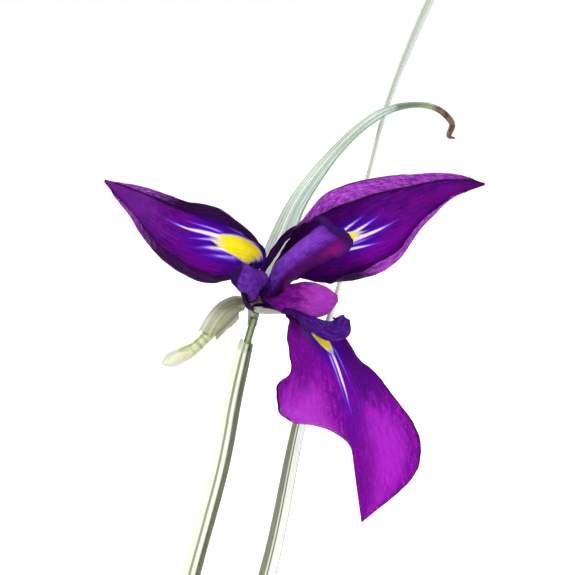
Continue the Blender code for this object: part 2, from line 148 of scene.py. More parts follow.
class Finish:  # a material and its nodes
    def __init__(self, name, **constants):
        self.material = bpy.data.materials.new(name)
        self.material.use_nodes = True
        self.tree = self.material.node_tree
        self.shader = self.tree.nodes["Principled BSDF"]
        self.give(**constants)

    def give(self, **sockets):  # values or wires for the shader
        for key, value in sockets.items():
            self.plug(self.shader.inputs[key.replace("_", " ")], value)

    def plug(self, socket, value):
        if isinstance(value, Wire):
            self.tree.links.new(value.socket, socket)
        elif isinstance(value, tuple) and socket.type == "RGBA":
            socket.default_value = (*value[:3], 1.0)
        else:
            socket.default_value = value

    def node(self, kind, settings, sockets, output=0):
        made = self.tree.nodes.new(kind)
        for key, value in settings.items():
            setattr(made, key, value)
        for key, value in sockets.items():
            self.plug(made.inputs[key], value)
        return Wire(self, made.outputs[output])

    def mix(self, share, first, second):
        return self.node("ShaderNodeMix", {"data_type": "RGBA"}, {0: share, 6: first, 7: second}, 2)

    def step(self, value, low, high, bottom=0.0, top=1.0):  # a soft step up
        return self.node("ShaderNodeMapRange", {"interpolation_type": "SMOOTHSTEP"},
                         {0: value, 1: low, 2: high, 3: bottom, 4: top})

    def fade(self, value, low, high):  # a soft step down
        return self.step(value, low, high, 1.0, 0.0)

    def between(self, value, low, high, soft):  # 1 from low to high, with soft ends
        return self.step(value, low - soft, low + soft) * self.fade(value, high - soft, high + soft)

    def where(self):  # the piece's own coordinates in metres
        return self.node("ShaderNodeTexCoord", {}, {}, "Object")

    def pair(self, name):  # the two values of a UV map
        spread = self.node("ShaderNodeUVMap", {"uv_map": name}, {})
        return [self.node("ShaderNodeSeparateXYZ", {}, {0: spread}, k) for k in (0, 1)]

    def place(self, x, y, z=0.0):
        return self.node("ShaderNodeCombineXYZ", {}, {0: x, 1: y, 2: z})

    def cloud(self, vector, scale, detail=3.0, rough=0.55, bend=0.0):
        return self.node("ShaderNodeTexNoise", {}, {"Vector": vector, "Scale": scale,
                         "Detail": detail, "Roughness": rough, "Distortion": bend})

    def cells(self, vector, scale, feature="DISTANCE_TO_EDGE"):
        return self.node("ShaderNodeTexVoronoi", {"feature": feature},
                         {"Vector": vector, "Scale": scale})

    def wave(self, angle):
        return self.node("ShaderNodeMath", {"operation": "SINE"}, {0: angle})

    def most(self, first, second):
        return self.node("ShaderNodeMath", {"operation": "MAXIMUM"}, {0: first, 1: second})

    def bump(self, height, distance, strength=1.0):
        return self.node("ShaderNodeBump", {}, {"Height": height, "Distance": distance,
                                                "Strength": strength})


# ---- shapes ----

def pieceFrom(name, shape, finishes):
    mesh = bpy.data.meshes.new(name)
    shape.to_mesh(mesh)
    shape.free()
    mesh.shade_smooth()
    piece = bpy.data.objects.new(name, mesh)
    for finish in finishes:
        mesh.materials.append(finish.material)
    bpy.context.scene.collection.objects.link(piece)
    return piece


def belong(piece, slotName, *nodes):
    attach(piece, "root")
    if nodes:
        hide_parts(*nodes)


plain = [(0, 0), (0, 0)]
rollSpan = (0.64, 0.84)  # the shares of the half width between which a margin rolls over


def both(*values):  # the same value on the left and on the right, at each station
    return [(value, value) for value in values]


def even(*widths):
    return {"left": widths, "right": widths}


# A blade is a thin sheet along a spine. From its midrib each half leaves at the angle hinge,
# bends steadily by cup and curls by roll near its edge; stations hold (left, right) angles.
# Widths, puckers and thickness are in mm.
def blade(name, shape, face, back):
    rows, half = shape["rows"], shape["half"]
    sheet = bmesh.new()
    bmesh.ops.create_grid(sheet, x_segments=rows, y_segments=2 * half, size=1)
    shareMap = sheet.loops.layers.uv.new("share")
    lengthMap = sheet.loops.layers.uv.new("length")
    body = sheet.verts.layers.deform.verify()
    line, lengths = measured(shape["spine"], rows)
    seed = seedOf(name)
    table = {}
    for row in range(rows + 1):
        at = row / rows
        tangent = heading(line, row)
        up = square(smooth(shape["face"], at), tangent)
        sideways = np.cross(tangent, up)
        hinge, cup, roll = [smooth(shape.get(k, plain), at) for k in ("hinge", "cup", "roll")]
        for sign, widths, column in ((-1, shape["left"], 0), (1, shape["right"], 1)):
            step = max(smooth(widths, at), 0.05) * mm * shape.get("scale", 1) / half
            across = lift = 0.0
            table[row, 0] = (line[row], up, tangent, 0.0)
            for k in range(1, half + 1):
                s = (k - 0.5) / half
                turn = math.radians(hinge[column] + cup[column] * s + roll[column] * eased(s, *rollSpan))
                across += math.cos(turn) * step
                lift += math.sin(turn) * step
                normal = up * math.cos(turn) - sign * sideways * math.sin(turn)
                table[row, sign * k] = (line[row] + sign * sideways * across + up * lift,
                                        normal, tangent, k * step)
    facts = {}
    for vert in sheet.verts:
        at, side = (vert.co.x + 1) / 2, vert.co.y
        row, column = round(at * rows), round(side * half)
        place, normal, tangent, far = table[row, column]
        far = math.copysign(far, side)
        share = abs(side)
        along = lengths[row]
        swell = 0.0
        for height, size, start in shape["crumple"]:  # puckers, stronger near the edge
            swell += height * mm * eased(share, start) * ripple(along / size / mm, far / size / mm, seed)
        height, waves, start = shape.get("frill", (0, 1, 0.5))
        wave = math.sin(2 * math.pi * waves * at + 3 * ripple(at * 4, seed, side > 0))
        swell += height * mm * eased(share, start) * wave * eased(1 - at, 0, 0.15)
        depth, teeth = shape.get("fray", (0, 1))  # a toothed end
        pull = depth * mm * eased(at, 0.75) * (ripple(side * teeth, seed, 0) - 0.3)
        pull -= shape.get("notch", 0) * mm * eased(at, 0.5) * abs(2 * share - 1)
        vert.co = place + normal * swell + tangent * pull
        vert[body][0] = 1 - 0.75 * share ** 3  # thinner towards the edges
        facts[vert.index] = (at, side, along, far)
    for corner in (c for patch in sheet.faces for c in patch.loops):
        at, side, along, far = facts[corner.vert.index]
        corner[shareMap].uv = (at, (side + 1) / 2)
        corner[lengthMap].uv = (along * 10, far * 10 + 0.5)
    piece = pieceFrom(name, sheet, [back, face])
    piece.vertex_groups.new(name="body")
    shell = piece.modifiers.new("thickness", "SOLIDIFY")
    shell.thickness = shape["thick"] * mm
    shell.offset = 0
    shell.use_even_offset = False
    shell.vertex_group = "body"
    shell.thickness_vertex_group = 0.2
    shell.material_offset = 1
    return piece


# A stalk is a ribbed stem along a spine, closed at both ends. Its radii are in mm.
def stalk(name, shape, finish):
    rows, sides = shape["rows"], shape["sides"]
    rod = bmesh.new()
    bmesh.ops.create_grid(rod, x_segments=rows, y_segments=sides, size=1)
    shareMap = rod.loops.layers.uv.new("share")
    lengthMap = rod.loops.layers.uv.new("length")
    line, lengths = measured(shape["spine"], rows)
    for corner in (c for patch in rod.faces for c in patch.loops):
        at, turn = (corner.vert.co.x + 1) / 2, (corner.vert.co.y + 1) / 2
        girth = 2 * math.pi * smooth(shape["radii"], at) * mm
        corner[shareMap].uv = (at, turn)
        corner[lengthMap].uv = (lengths[round(at * rows)] * 10, (turn - 0.5) * girth * 10 + 0.5)
    seed = seedOf(name)
    for vert in rod.verts:
        at, turn = (vert.co.x + 1) / 2, math.pi * (vert.co.y + 1)
        row = round(at * rows)
        tangent = heading(line, row)
        ahead = square(np.array((0.0, -1.0, 0.0)), tangent)
        beside = np.cross(tangent, ahead)
        c, s = math.cos(turn), math.sin(turn)
        ribs, depth = shape["ribs"]
        radius = smooth(shape["radii"], at) * mm * shape.get("scale", 1)
        radius *= 1 + depth * math.cos(ribs * turn)
        radius *= 1 + shape["lumps"] * ripple(at * 9, c * 1.2, s * 1.2 + seed)
        vert.co = line[row] + ahead * radius * c + beside * radius * s
    bmesh.ops.remove_doubles(rod, verts=rod.verts, dist=0.002 * mm)
    bmesh.ops.holes_fill(rod, edges=[e for e in rod.edges if e.is_boundary], sides=0)
    bmesh.ops.recalc_face_normals(rod, faces=rod.faces)
    return pieceFrom(name, rod, [finish])


# ---- camera, floor and light ----

stage = {"target": (0.075, 0.0, 0.400), "distance": 0.70, "elevation": 12, "lens": 125,
         "floor": 20.0, "sky": 0.62}

camera = bpy.data.objects.new("camera", bpy.data.cameras.new("camera"))
bpy.context.scene.collection.objects.link(camera)
rise = math.radians(stage["elevation"])
away = Vector((0, -math.cos(rise), math.sin(rise)))
camera.location = Vector(stage["target"]) + away * stage["distance"]
camera.rotation_euler = (-away).to_track_quat("-Z", "Y").to_euler()
camera.data.lens = stage["lens"]
camera.data.sensor_width = 36
camera.data.clip_start, camera.data.clip_end = 0.01, 50
bpy.context.scene.camera = camera
bpy.context.scene.view_settings.view_transform = "Standard"

world = bpy.data.worlds.new("studio")
bpy.context.scene.world = world
world.use_nodes = True
sky = world.node_tree.nodes["Background"]
sky.inputs["Color"].default_value = (1, 1, 1, 1)
seen = world.node_tree.nodes.new("ShaderNodeLightPath")  # white where it is seen, softer where it lights
glow = world.node_tree.nodes.new("ShaderNodeMapRange")
glow.inputs["To Min"].default_value = stage["sky"]
world.node_tree.links.new(seen.outputs["Is Camera Ray"], glow.inputs["Value"])
world.node_tree.links.new(glow.outputs["Result"], sky.inputs["Strength"])

floorShape = bmesh.new()
bmesh.ops.create_circle(floorShape, cap_ends=True, segments=96, radius=stage["floor"])
floorFinish = Finish("paleFloor", Base_Color=(0.92, 0.92, 0.92), Roughness=1.0, Specular_IOR_Level=0.0,
                     Emission_Color=(1.0, 1.0, 1.0), Emission_Strength=0.42)
floor = pieceFrom("floor", floorShape, [floorFinish])


def softLight(name, place, aim, size, power, tint=(1, 1, 1)):
    lamp = bpy.data.lights.new(name, "AREA")
    lamp.shape, lamp.size, lamp.energy, lamp.color = "DISK", size, power, tint
    light = bpy.data.objects.new(name, lamp)
    light.location = place
    light.rotation_euler = (Vector(aim) - Vector(place)).to_track_quat("-Z", "Y").to_euler()
    bpy.context.scene.collection.objects.link(light)


softLight("key", (-0.9, -1.3, 2.1), (0.05, 0, 0.36), 0.7, 40, (1.0, 0.98, 0.95))
softLight("fill", (1.6, -0.9, 1.0), (0.05, 0, 0.3), 1.2, 10, (0.95, 0.97, 1.0))
softLight("back", (0.9, 1.5, 1.7), (0.05, 0, 0.3), 0.9, 22)
print("stage set")


# ---- pot ----

pot = {"wall": 6.0, "rimStep": 4, "taper": 22, "floor": 8, "innerLean": 1.3, "corner": 1.6, "rings": 0.09,
       "wear": 0.25, "drainRadius": 5, "drainReach": 26,  # mm
       "rimFoot": 0.815, "steps": 144, "drains": 3}  # rimFoot is a share of the height


def clayFinish():
    clay = Finish("terracotta", Roughness=0.85, Specular_IOR_Level=0.25)
    here = clay.where()
    height = clay.node("ShaderNodeSeparateXYZ", {}, {0: here}, 2)
    broad = clay.cloud(here, 22, 5, 0.6)
    fine = clay.cloud(here, 900, 4, 0.7)
    colour = clay.mix(clay.step(broad, 0.3, 0.72), (0.43, 0.145, 0.06), (0.57, 0.235, 0.11))
    mottle = clay.step(clay.cloud(here, 60, 6, 0.7), 0.5, 0.8)
    colour = clay.mix(mottle * 0.5, colour, (0.42, 0.15, 0.07))
    colour = clay.mix(clay.step(fine, 0.55, 0.78) * 0.4, colour, (0.75, 0.42, 0.26))
    crazing = clay.fade(clay.cells(here, 420), 0.0, 0.055)
    colour = clay.mix(crazing * 0.25, colour, (0.30, 0.11, 0.06))
    edge = clay.cloud(here, 34, 8, 0.72, 0.4)  # lime bloom at the foot, under the rim and on the lip
    low = clay.fade(height + edge * 0.05, 0.018, 0.066)
    high = clay.step(height + edge * 0.03, 0.088, 0.112) * clay.fade(height, 0.1045, 0.108)
    lip = clay.step(height + edge * 0.012, 0.128, 0.139)
    lime = clay.step(edge, 0.42, 0.66) * (low * 0.75 + high * 0.8 + lip * 0.5 + 0.05)
    colour = clay.mix(lime, colour, (0.80, 0.72, 0.62))
    patches = clay.step(clay.cloud(here, 50, 5), 0.4, 0.6)
    flat = clay.node("ShaderNodeVectorMath", {"operation": "MULTIPLY"}, {0: here, 1: (1, 1, 0)})
    radial = clay.node("ShaderNodeVectorMath", {"operation": "LENGTH"}, {0: flat}, 1)
    damp = clay.fade(radial - height * 0.17, 0.0445, 0.0455) * clay.fade(height, 0.112, 0.124)  # inside only
    colour = clay.mix(damp * (0.55 + patches * 0.3), colour, (0.16, 0.07, 0.04))
    lines = clay.wave(height * 2600 + clay.cloud(here, 18, 2) * 9)
    relief = fine * 0.35 + clay.cloud(here, 240, 5, 0.65) * 0.5 + lines * 0.07 + lime * 0.25
    clay.give(Base_Color=colour, Normal=clay.bump(relief, 0.0006, 0.8),
              Roughness=clay.step(broad, 0.2, 0.8, 0.78, 0.92))
    return clay


def turnedShape(profile, steps):  # a profile spun round the pot's axis
    shape = bmesh.new()
    verts = [shape.verts.new((radius, 0, height)) for radius, height in profile]
    line = [shape.edges.new(pair) for pair in zip(verts, verts[1:])]
    bmesh.ops.spin(shape, geom=verts + line, axis=(0, 0, 1), cent=(0, 0, 0),
                   angle=2 * math.pi, steps=steps, use_merge=True)
    bmesh.ops.remove_doubles(shape, verts=shape.verts, dist=0.01 * mm)
    bmesh.ops.recalc_face_normals(shape, faces=shape.faces)
    return shape


def cornersRounded(shape, width, segments, angle=0.3):
    edges = [e for e in shape.edges if len(e.link_faces) == 2 and e.calc_face_angle(0) > angle]
    bmesh.ops.bevel(shape, geom=edges, offset=width, segments=segments, profile=0.5,
                    affect="EDGES", material=-1, offset_type="OFFSET", clamp_overlap=True)


def makePot():
    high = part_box("pot")[1]
    top, radius = high.z, high.x
    rimStep, taper, wall = pot["rimStep"] * mm, pot["taper"] * mm, pot["wall"] * mm
    foot, floorTop = pot["rimFoot"] * top, pot["floor"] * mm
    lip = radius - rimStep - wall
    base = radius - (pot["rimStep"] + pot["taper"]) * mm
    underRim = radius - rimStep - taper * (1 - foot / top)
    inner = base + pot["innerLean"] * mm - wall
    profile = [(0, 0), (base, 0)]
    profile += [(base + (underRim - base) * k / 8, foot * k / 8) for k in range(1, 9)]
    profile += [(underRim + rimStep, foot), (radius, top), (lip, top)]
    profile += [(lip + (inner - lip) * k / 8, top + (floorTop - top) * k / 8) for k in range(1, 9)]
    profile += [(0, floorTop)]
    shape = turnedShape(profile, pot["steps"])
    cornersRounded(shape, pot["corner"] * mm, 4)
    for vert in shape.verts:
        reach = math.hypot(vert.co.x, vert.co.y)
        if reach < 20 * mm or not 1.5 * mm < vert.co.z < top:  # the foot and the floor's middle stay true
            continue
        turn = math.atan2(vert.co.y, vert.co.x)
        swell = pot["rings"] * mm * math.sin(vert.co.z * 900 + math.sin(turn) * 0.6)
        swell += pot["wear"] * mm * ripple(vert.co.x * 30, vert.co.y * 30, vert.co.z * 30)
        vert.co.x *= 1 + swell / reach
        vert.co.y *= 1 + swell / reach
    clay = clayFinish()
    piece = pieceFrom("clayPot", shape, [clay])
    rods = bmesh.new()
    drain, reach = pot["drainRadius"] * mm, pot["drainReach"] * mm
    for k in range(pot["drains"]):
        turn = math.radians(30 + 360 / pot["drains"] * k)
        place = Matrix.Translation((reach * math.cos(turn), reach * math.sin(turn), 0))
        bmesh.ops.create_cone(rods, cap_ends=True, segments=40, radius1=drain, radius2=drain,
                              depth=40 * mm, matrix=place)
    cutter = pieceFrom("rods", rods, [clay])
    hole = piece.modifiers.new("drain", "BOOLEAN")
    hole.object, hole.operation = cutter, "DIFFERENCE"
    bored = piece.evaluated_get(bpy.context.evaluated_depsgraph_get())
    mesh = bpy.data.meshes.new_from_object(bored)
    piece.modifiers.clear()
    piece.data = mesh
    bpy.data.objects.remove(cutter)
    belong(piece, "clay", "pot")


makePot()
print("pot turned")


# ---- soil ----

ground = {"clods": 1.5, "sunk": 0.9, "dish": 3, "taper": 22, "foot": 20.3, "seed": 11}  # mm, but for the seed
heaps = {  # count, sizes in mm, form, dark, light
    "soilCrumbs": (900, (0.5, 1.5), (1, 0.9, 0.7), (0.012, 0.008, 0.005), (0.09, 0.055, 0.03)),
    "barkChips": (70, (1.4, 3.4), (1.7, 0.8, 0.35), (0.05, 0.022, 0.012), (0.24, 0.12, 0.06)),
    "perlite": (75, (0.6, 1.5), (1, 0.9, 0.8), (0.52, 0.50, 0.46), (0.86, 0.85, 0.81)),
}


def soilFinish(name, dark, light, scale, glints=0.0):
    soil = Finish(name, Roughness=0.95, Specular_IOR_Level=0.2)
    here = soil.where()
    grain = soil.cloud(here, scale, 6, 0.7)
    colour = soil.mix(soil.step(grain, 0.35, 0.7), dark, light)
    colour = soil.mix(soil.step(soil.cells(here, scale * 1.7, "F1"), 0.1, 0.5) * 0.5, colour, dark)
    if glints:
        grit = soil.step(soil.cloud(here, scale * 3, 2), 0.66, 0.72)
        colour = soil.mix(grit * glints, colour, (0.55, 0.50, 0.42))
    soil.give(Base_Color=colour, Normal=soil.bump(grain + soil.cloud(here, scale * 4, 4) * 0.5, 0.0012))
    return soil


def makeSoil():
    low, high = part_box("potting_soil")
    radius, top = high.x, high.z

    def surface(x, y):  # height of the clods
        clods = ripple(x * 90, y * 90, 3) + 0.5 * ripple(x * 240, y * 240, 7)
        clods += 0.3 * ripple(x * 600, y * 600, 1)
        dished = ground["dish"] * mm * (math.hypot(x, y) / radius) ** 2
        return top - dished - ground["sunk"] * mm + ground["clods"] * mm * clods

    taper = ground["taper"] * mm
    profile = [(radius * k / 60, top) for k in range(61)]
    profile += [(radius - taper * 0.1 * k, top + (low.z - top) * k / 10) for k in range(1, 10)]
    profile += [(radius - ground["foot"] * mm, low.z), (0, low.z)]
    shape = turnedShape(profile, 150)
    for vert in shape.verts:
        if vert.co.z > top - 0.1 * mm:
            vert.co.z = surface(vert.co.x, vert.co.y)
    finish = soilFinish("soil", (0.018, 0.011, 0.007), (0.085, 0.052, 0.03), 320, 0.5)
    belong(pieceFrom("soilFill", shape, [finish]), "soil", "potting_soil")

    chance = random.Random(ground["seed"])
    for name, (count, sizes, form, dark, light) in heaps.items():
        heap = bmesh.new()
        for _ in range(count):
            reach, turn = radius * 0.985 * math.sqrt(chance.random()), 2 * math.pi * chance.random()
            x, y = reach * math.cos(turn), reach * math.sin(turn)
            size = chance.uniform(*sizes) * mm
            turned = Matrix.Rotation(chance.uniform(0, 6.3), 4, "Z")
            tipped = Matrix.Rotation(chance.uniform(-0.5, 0.5), 4, "X")
            lie = Matrix.Translation((x, y, surface(x, y) + size * 0.25)) @ (turned @ tipped)
            grown = Matrix.Diagonal((*[size * f for f in form], 1))
            made = bmesh.ops.create_icosphere(heap, subdivisions=1, radius=1, matrix=lie @ grown)
            for vert in made["verts"]:
                vert.co += Vector([chance.uniform(-0.22, 0.22) * size for _ in range(3)])
        piece = pieceFrom(name, heap, [soilFinish(name, dark, light, 900)])
        piece.data.shade_flat()
        belong(piece, "soil")


makeSoil()
print("soil filled")


# ---- rhizome ----

rootstock = {"cuts": 30, "scars": 9, "scarDepth": 0.035, "knobs": 1.3, "length": 0.985, "girth": 0.95}


def makeRhizome():
    low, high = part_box("rhizome")
    middle, half = (low + high) / 2, (high - low) / 2
    shape = bmesh.new()
    bmesh.ops.create_cube(shape, size=1)
    bmesh.ops.subdivide_edges(shape, edges=shape.edges, cuts=rootstock["cuts"], use_grid_fill=True)
    for vert in shape.verts:
        x, y, z = vert.co * 2
        narrow = math.sqrt(max(1 - (abs(x) ** 3.2) * 0.72, 0))
        norm = (abs(y) ** 3 + abs(z) ** 3) ** (1 / 3) or 1
        tall = max(abs(y), abs(z))
        y, z = y / norm * tall * narrow, z / norm * tall * narrow
        ringed = 1 + rootstock["scarDepth"] * math.sin(x * rootstock["scars"] * math.pi) * (tall > 0.9)
        girth = ringed * rootstock["girth"]
        vert.co = middle + Vector((x * half.x * rootstock["length"], y * half.y * girth, z * half.z * girth))
        knob = 0.35 * ripple(*(vert.co * 140)) + 0.2 * ripple(*(vert.co * 420))
        vert.co += Vector((x * 0.3, y, z)) * rootstock["knobs"] * mm * knob
    bark = Finish("rhizomeBark", Roughness=0.85, Specular_IOR_Level=0.25)
    here = bark.where()
    along = bark.node("ShaderNodeSeparateXYZ", {}, {0: here}, 0)
    scars = bark.wave(along * 690 + bark.cloud(here, 120, 3) * 5)
    drawn = bark.node("ShaderNodeMapping", {}, {"Vector": here, "Scale": (3.0, 1.0, 1.0)})
    grain = bark.cloud(drawn, 300, 5, 0.7)
    colour = bark.mix(bark.step(grain, 0.3, 0.7), (0.12, 0.065, 0.03), (0.36, 0.24, 0.12))
    colour = bark.mix(bark.step(scars, 0.75, 1.0) * 0.7, colour, (0.06, 0.035, 0.02))
    colour = bark.mix(bark.step(bark.cloud(here, 60, 4), 0.52, 0.7) * 0.5, colour, (0.30, 0.33, 0.13))
    bark.give(Base_Color=colour, Normal=bark.bump(grain + bark.step(scars, 0.6, 1.0) * -0.7, 0.0009))
    belong(pieceFrom("rootstock", shape, [bark]), "bark", "rhizome")


makeRhizome()
print("rhizome shaped")


# ---- leaves ----

def leafFinish(name, facts):
    leaf = Finish(name, Specular_IOR_Level=0.4)
    at, side = leaf.pair("share")
    far, across = leaf.pair("length")
    here = leaf.where()
    strands = leaf.cloud(leaf.place(far * 1.2, across * 60), 2.2, 4, 0.6)
    ribs = leaf.wave(side * facts["ribs"] + leaf.cloud(leaf.place(far * 0.6, side * 3), 2) * 2)
    colour = leaf.mix(leaf.step(strands, 0.3, 0.7), facts["dark"], facts["light"])
    colour = leaf.mix(leaf.step(leaf.cloud(here, 30, 3), 0.35, 0.7) * 0.45, colour, facts["tint"])
    for low, high, tone, strength in facts.get("bands", ()):  # stripes that run the leaf's length
        wander = side + (leaf.cloud(leaf.place(far * 2.5, low * 9), 1.0, 2) - 0.5) * 0.05
        colour = leaf.mix(leaf.between(wander, low, high, 0.02) * strength, colour, tone)
    colour = leaf.mix(leaf.step(abs(side * 2 - 1), 0.86, 1.0) * 0.5, colour, facts["edge"])
    for low, high, tone, strength in facts.get("rungs", ()):  # areas along the leaf
        reach = at + (leaf.cloud(here, 260, 3) - 0.5) * 0.06
        colour = leaf.mix(leaf.between(reach, low, high, 0.02) * strength, colour, tone)
    foot = leaf.fade(at + leaf.cloud(here, 90, 2) * 0.04, 0.03, facts.get("pale", 0.14))
    colour = leaf.mix(foot * facts.get("blanch", 0.7), colour, facts.get("foot", (0.62, 0.66, 0.42)))
    start = facts.get("wither", 0.975)
    scorch = leaf.step(at + leaf.cloud(here, 160, 5, 0.7) * 0.05, start, start + facts.get("witherRun", 0.03))
    colour = leaf.mix(leaf.step(at, start - 0.08, start) * 0.35, colour, (0.52, 0.50, 0.18))
    husk = leaf.mix(leaf.step(leaf.cloud(here, 300, 4), 0.35, 0.65),
                    facts.get("burnt", (0.17, 0.085, 0.035)), facts.get("dry", (0.42, 0.30, 0.17)))
    colour = leaf.mix(scorch, colour, husk)
    spots = leaf.fade(leaf.cells(here, 150, "F1"), 0.05, 0.11) * leaf.step(leaf.cloud(here, 25, 2), 0.56, 0.7)
    colour = leaf.mix(spots * 0.35, colour, (0.16, 0.12, 0.05))
    relief = ribs * 0.5 + strands * 0.6 + leaf.fade(abs(side - 0.5), 0.0, 0.03) * 0.5
    leaf.give(Base_Color=colour, Normal=leaf.bump(relief, 0.00022, 0.8),
              Roughness=leaf.step(strands + scorch * 0.5, 0.2, 1.0, 0.42, 0.75))
    return leaf


greens = {"dark": (0.09, 0.20, 0.045), "light": (0.22, 0.38, 0.11), "tint": (0.13, 0.28, 0.13),
          "edge": (0.34, 0.46, 0.20), "ribs": 95}

fan = {  # foot on the rhizome, height, lean, sway back and half width in mm, then the twist
    "a": ((-5, 4.5), 285, -120, 18, 6.5, 0.15),
    "b": ((-10, -4), 235, -88, -16, 6, -0.2),
    "c": ((-16, 1), 180, -105, 4, 6, 0.1),
    "d": ((12, -5), 125, 52, -24, 5.5, 0.2),
    "e": ((19, 3), 145, 30, 30, 5.5, -0.2),
    "f": ((37, -4), 130, 78, -6, 5.5, 0.15),
    "g": ((-24, -4), 110, -70, -26, 5, -0.15),
    "h": ((37, 2), 92, 70, 22, 4.5, 0.2),
}
olderLeaves = "cgh"
rises = (0, 0.12, 0.32, 0.55, 0.78, 0.94, 1)  # shares of the height, and of the lean and sway
bends = (0, 0, 0.07, 0.24, 0.5, 0.8, 1)
leafWidths = (0.75, 0.95, 1.05, 1.05, 0.95, 0.75, 0.5, 0.25, 0.03)


def makeFan():
    green = leafFinish("leafGreen", {
        **greens, "wither": 0.985, "bands": [(0.46, 0.54, (0.30, 0.45, 0.16), 0.5)]})
    old = leafFinish("leafOlder", {
        **greens, "light": (0.30, 0.42, 0.12), "tint": (0.33, 0.38, 0.10), "wither": 0.93, "witherRun": 0.06,
        "bands": [(0.46, 0.54, (0.36, 0.46, 0.17), 0.5)]})
    for label, (foot, height, lean, sway, width, twist) in fan.items():
        spine = [mm * np.array([foot[0] + lean * bend, foot[1] + sway * bend, height * lift])
                 + np.array([0, 0, crown + 0.3 * mm]) for lift, bend in zip(rises, bends)]
        shape = {"spine": spine, **even(*[width * w for w in leafWidths]),
                 "face": [(0, -1, 0), (0.3 * twist, -1, 0), (twist, -1, 0.1), (2 * twist, -1, 0.2)],
                 "hinge": both(30, 20, 10, 7, 5), "cup": both(14, 6, 3), "rows": 70, "half": 7, "thick": 1.0,
                 "crumple": [(0.35, 14, 0.2)], "frill": (0.25, 3, 0.4)}
        finish = old if label in olderLeaves else green
        belong(blade("basalLeaf" + label.upper(), shape, finish, finish), "leaf", "basal_leaf_" + label)


makeFan()

tallLeaf = {
    "spine": fromThroat([(-34, 10, -275.8), (-33.5, 9.6, -256), (-26, 5, -205), (-15, 0, -160),
                         (3.9, -2, -99.5), (15.5, 11, -46), (29, 22, 0), (40, 31, 40), (46, 36, 62),
                         (54, 39, 83), (62, 41, 101), (71, 41, 118), (79, 40, 133), (89, 39, 146)]),
    "face": [(0, -1, 0)] * 5 + [(0.3, -1, 0), (1, -0.3, 0), (1, -0.2, 0), (1, -0.4, 0), (1, -0.6, 0),
                                (1, -0.8, 0), (1, -1, 0), (1, -1, 0), (1, -1, 0)],
    **even(3.5, 4, 5, 4.6, 3.2, 2.6, 2.2, 2, 2, 2.2, 2.2, 2, 1.2, 0.2), "hinge": both(10, 12, 10, 6, 4),
    "rows": 220, "half": 8, "thick": 0.9, "crumple": [(0.2, 20, 0.2)],
}
tallFinish = leafFinish("tallLeaf", {
    "dark": (0.32, 0.37, 0.26), "light": (0.62, 0.66, 0.56), "tint": (0.46, 0.52, 0.40),
    "edge": (0.24, 0.28, 0.19), "ribs": 60, "blanch": 0.3, "rungs": [(0.46, 0.96, (0.56, 0.61, 0.54), 0.7)],
    "bands": [(0.0, 0.32, (0.09, 0.10, 0.045), 0.8), (0.34, 0.41, (0.66, 0.67, 0.52), 0.85),
              (0.43, 0.52, (0.05, 0.06, 0.025), 0.85), (0.57, 0.97, (0.82, 0.84, 0.80), 0.8)]})
belong(blade("tallLeaf", tallLeaf, tallFinish, tallFinish), "leaf", "tall_leaf")

archingLeaf = {
    "spine": fromThroat([(-1.6, 7.9, -11), (0, 11, -3), (4, 17, 7), (9, 20, 18), (15.3, 24, 31.5),
                         (26.5, 27, 46.3), (37.5, 29, 57), (47.3, 29, 63), (58, 27, 65), (65, 25, 63.5),
                         (69, 23, 59), (68, 21, 55), (70, 20, 54)]),
    "face": [(0, -1, 0.4), (0, -1, 0.3), (0, -1, 0.2), (0.2, -1, 0.3), (0.6, -1, 0.4), (0.2, -1, -0.4)],
    **even(1.6, 2.6, 3.6, 4.4, 3.2, 2.2, 1.7, 1.4, 1, 1.1, 1.3, 0.9, 0.2),
    "hinge": both(8, 12, 10, 10) + [(30, 10)], "rows": 160, "half": 8, "thick": 0.8,
    "crumple": [(0.3, 9, 0.1)], "frill": (0.5, 5, 0.4),
}
archFinish = leafFinish("archingLeaf", {
    "dark": (0.34, 0.48, 0.36), "light": (0.66, 0.77, 0.66), "tint": (0.50, 0.64, 0.52),
    "edge": (0.18, 0.30, 0.20), "ribs": 50, "blanch": 0.0, "wither": 0.72, "witherRun": 0.06,
    "burnt": (0.05, 0.025, 0.012), "dry": (0.24, 0.14, 0.075),
    "rungs": [(0.60, 0.80, (0.08, 0.12, 0.08), 0.7)],
    "bands": [(0.30, 0.42, (0.80, 0.86, 0.78), 0.8), (0.58, 0.66, (0.24, 0.36, 0.26), 0.6),
              (0.90, 1.0, (0.14, 0.24, 0.16), 0.7)]})
belong(blade("archingLeaf", archingLeaf, archFinish, archFinish), "leaf", "arching_leaf")
print("leaves grown")


# ---- stem, sheath, tube, spathe and bud ----

stemPath = fromThroat([(-60, 5, -276), (-59, 4.5, -256), (-50, 0, -205), (-39, -4, -160), (-23.5, -5, -100),
                       (-13, -2, -61), (-8.2, 1, -36.3), (-4.8, 4, -21.5), (-2.7, 5, -14.7),
                       (-1.4, 5.3, -10.2), (-0.6, 5.2, -7.6)])
stemFinish = leafFinish("stemGreen", {
    "dark": (0.14, 0.21, 0.075), "light": (0.36, 0.43, 0.22), "tint": (0.24, 0.32, 0.13),
    "edge": (0.22, 0.27, 0.13), "ribs": 70, "blanch": 0.5, "wither": 2.0,
    # Painted shade and painted highlight: the two dark bands darken the stem's flanks, and the two pale ones,
    # which meet at the seam, lighten the middle of its front.
    "bands": [(0.07, 0.32, (0.055, 0.08, 0.03), 0.85), (0.70, 0.90, (0.06, 0.09, 0.03), 0.85),
              (-0.1, 0.03, (0.62, 0.66, 0.50), 0.7), (0.94, 1.1, (0.62, 0.66, 0.50), 0.65)]})
stem = {"spine": stemPath, "radii": [2.4, 1.9, 1.5, 1.4, 1.3, 1.3, 1.3], "rows": 160, "sides": 24,
        "ribs": (7, 0.03), "lumps": 0.05}
belong(stalk("flowerStem", stem, stemFinish), "stem", "flower_stem")

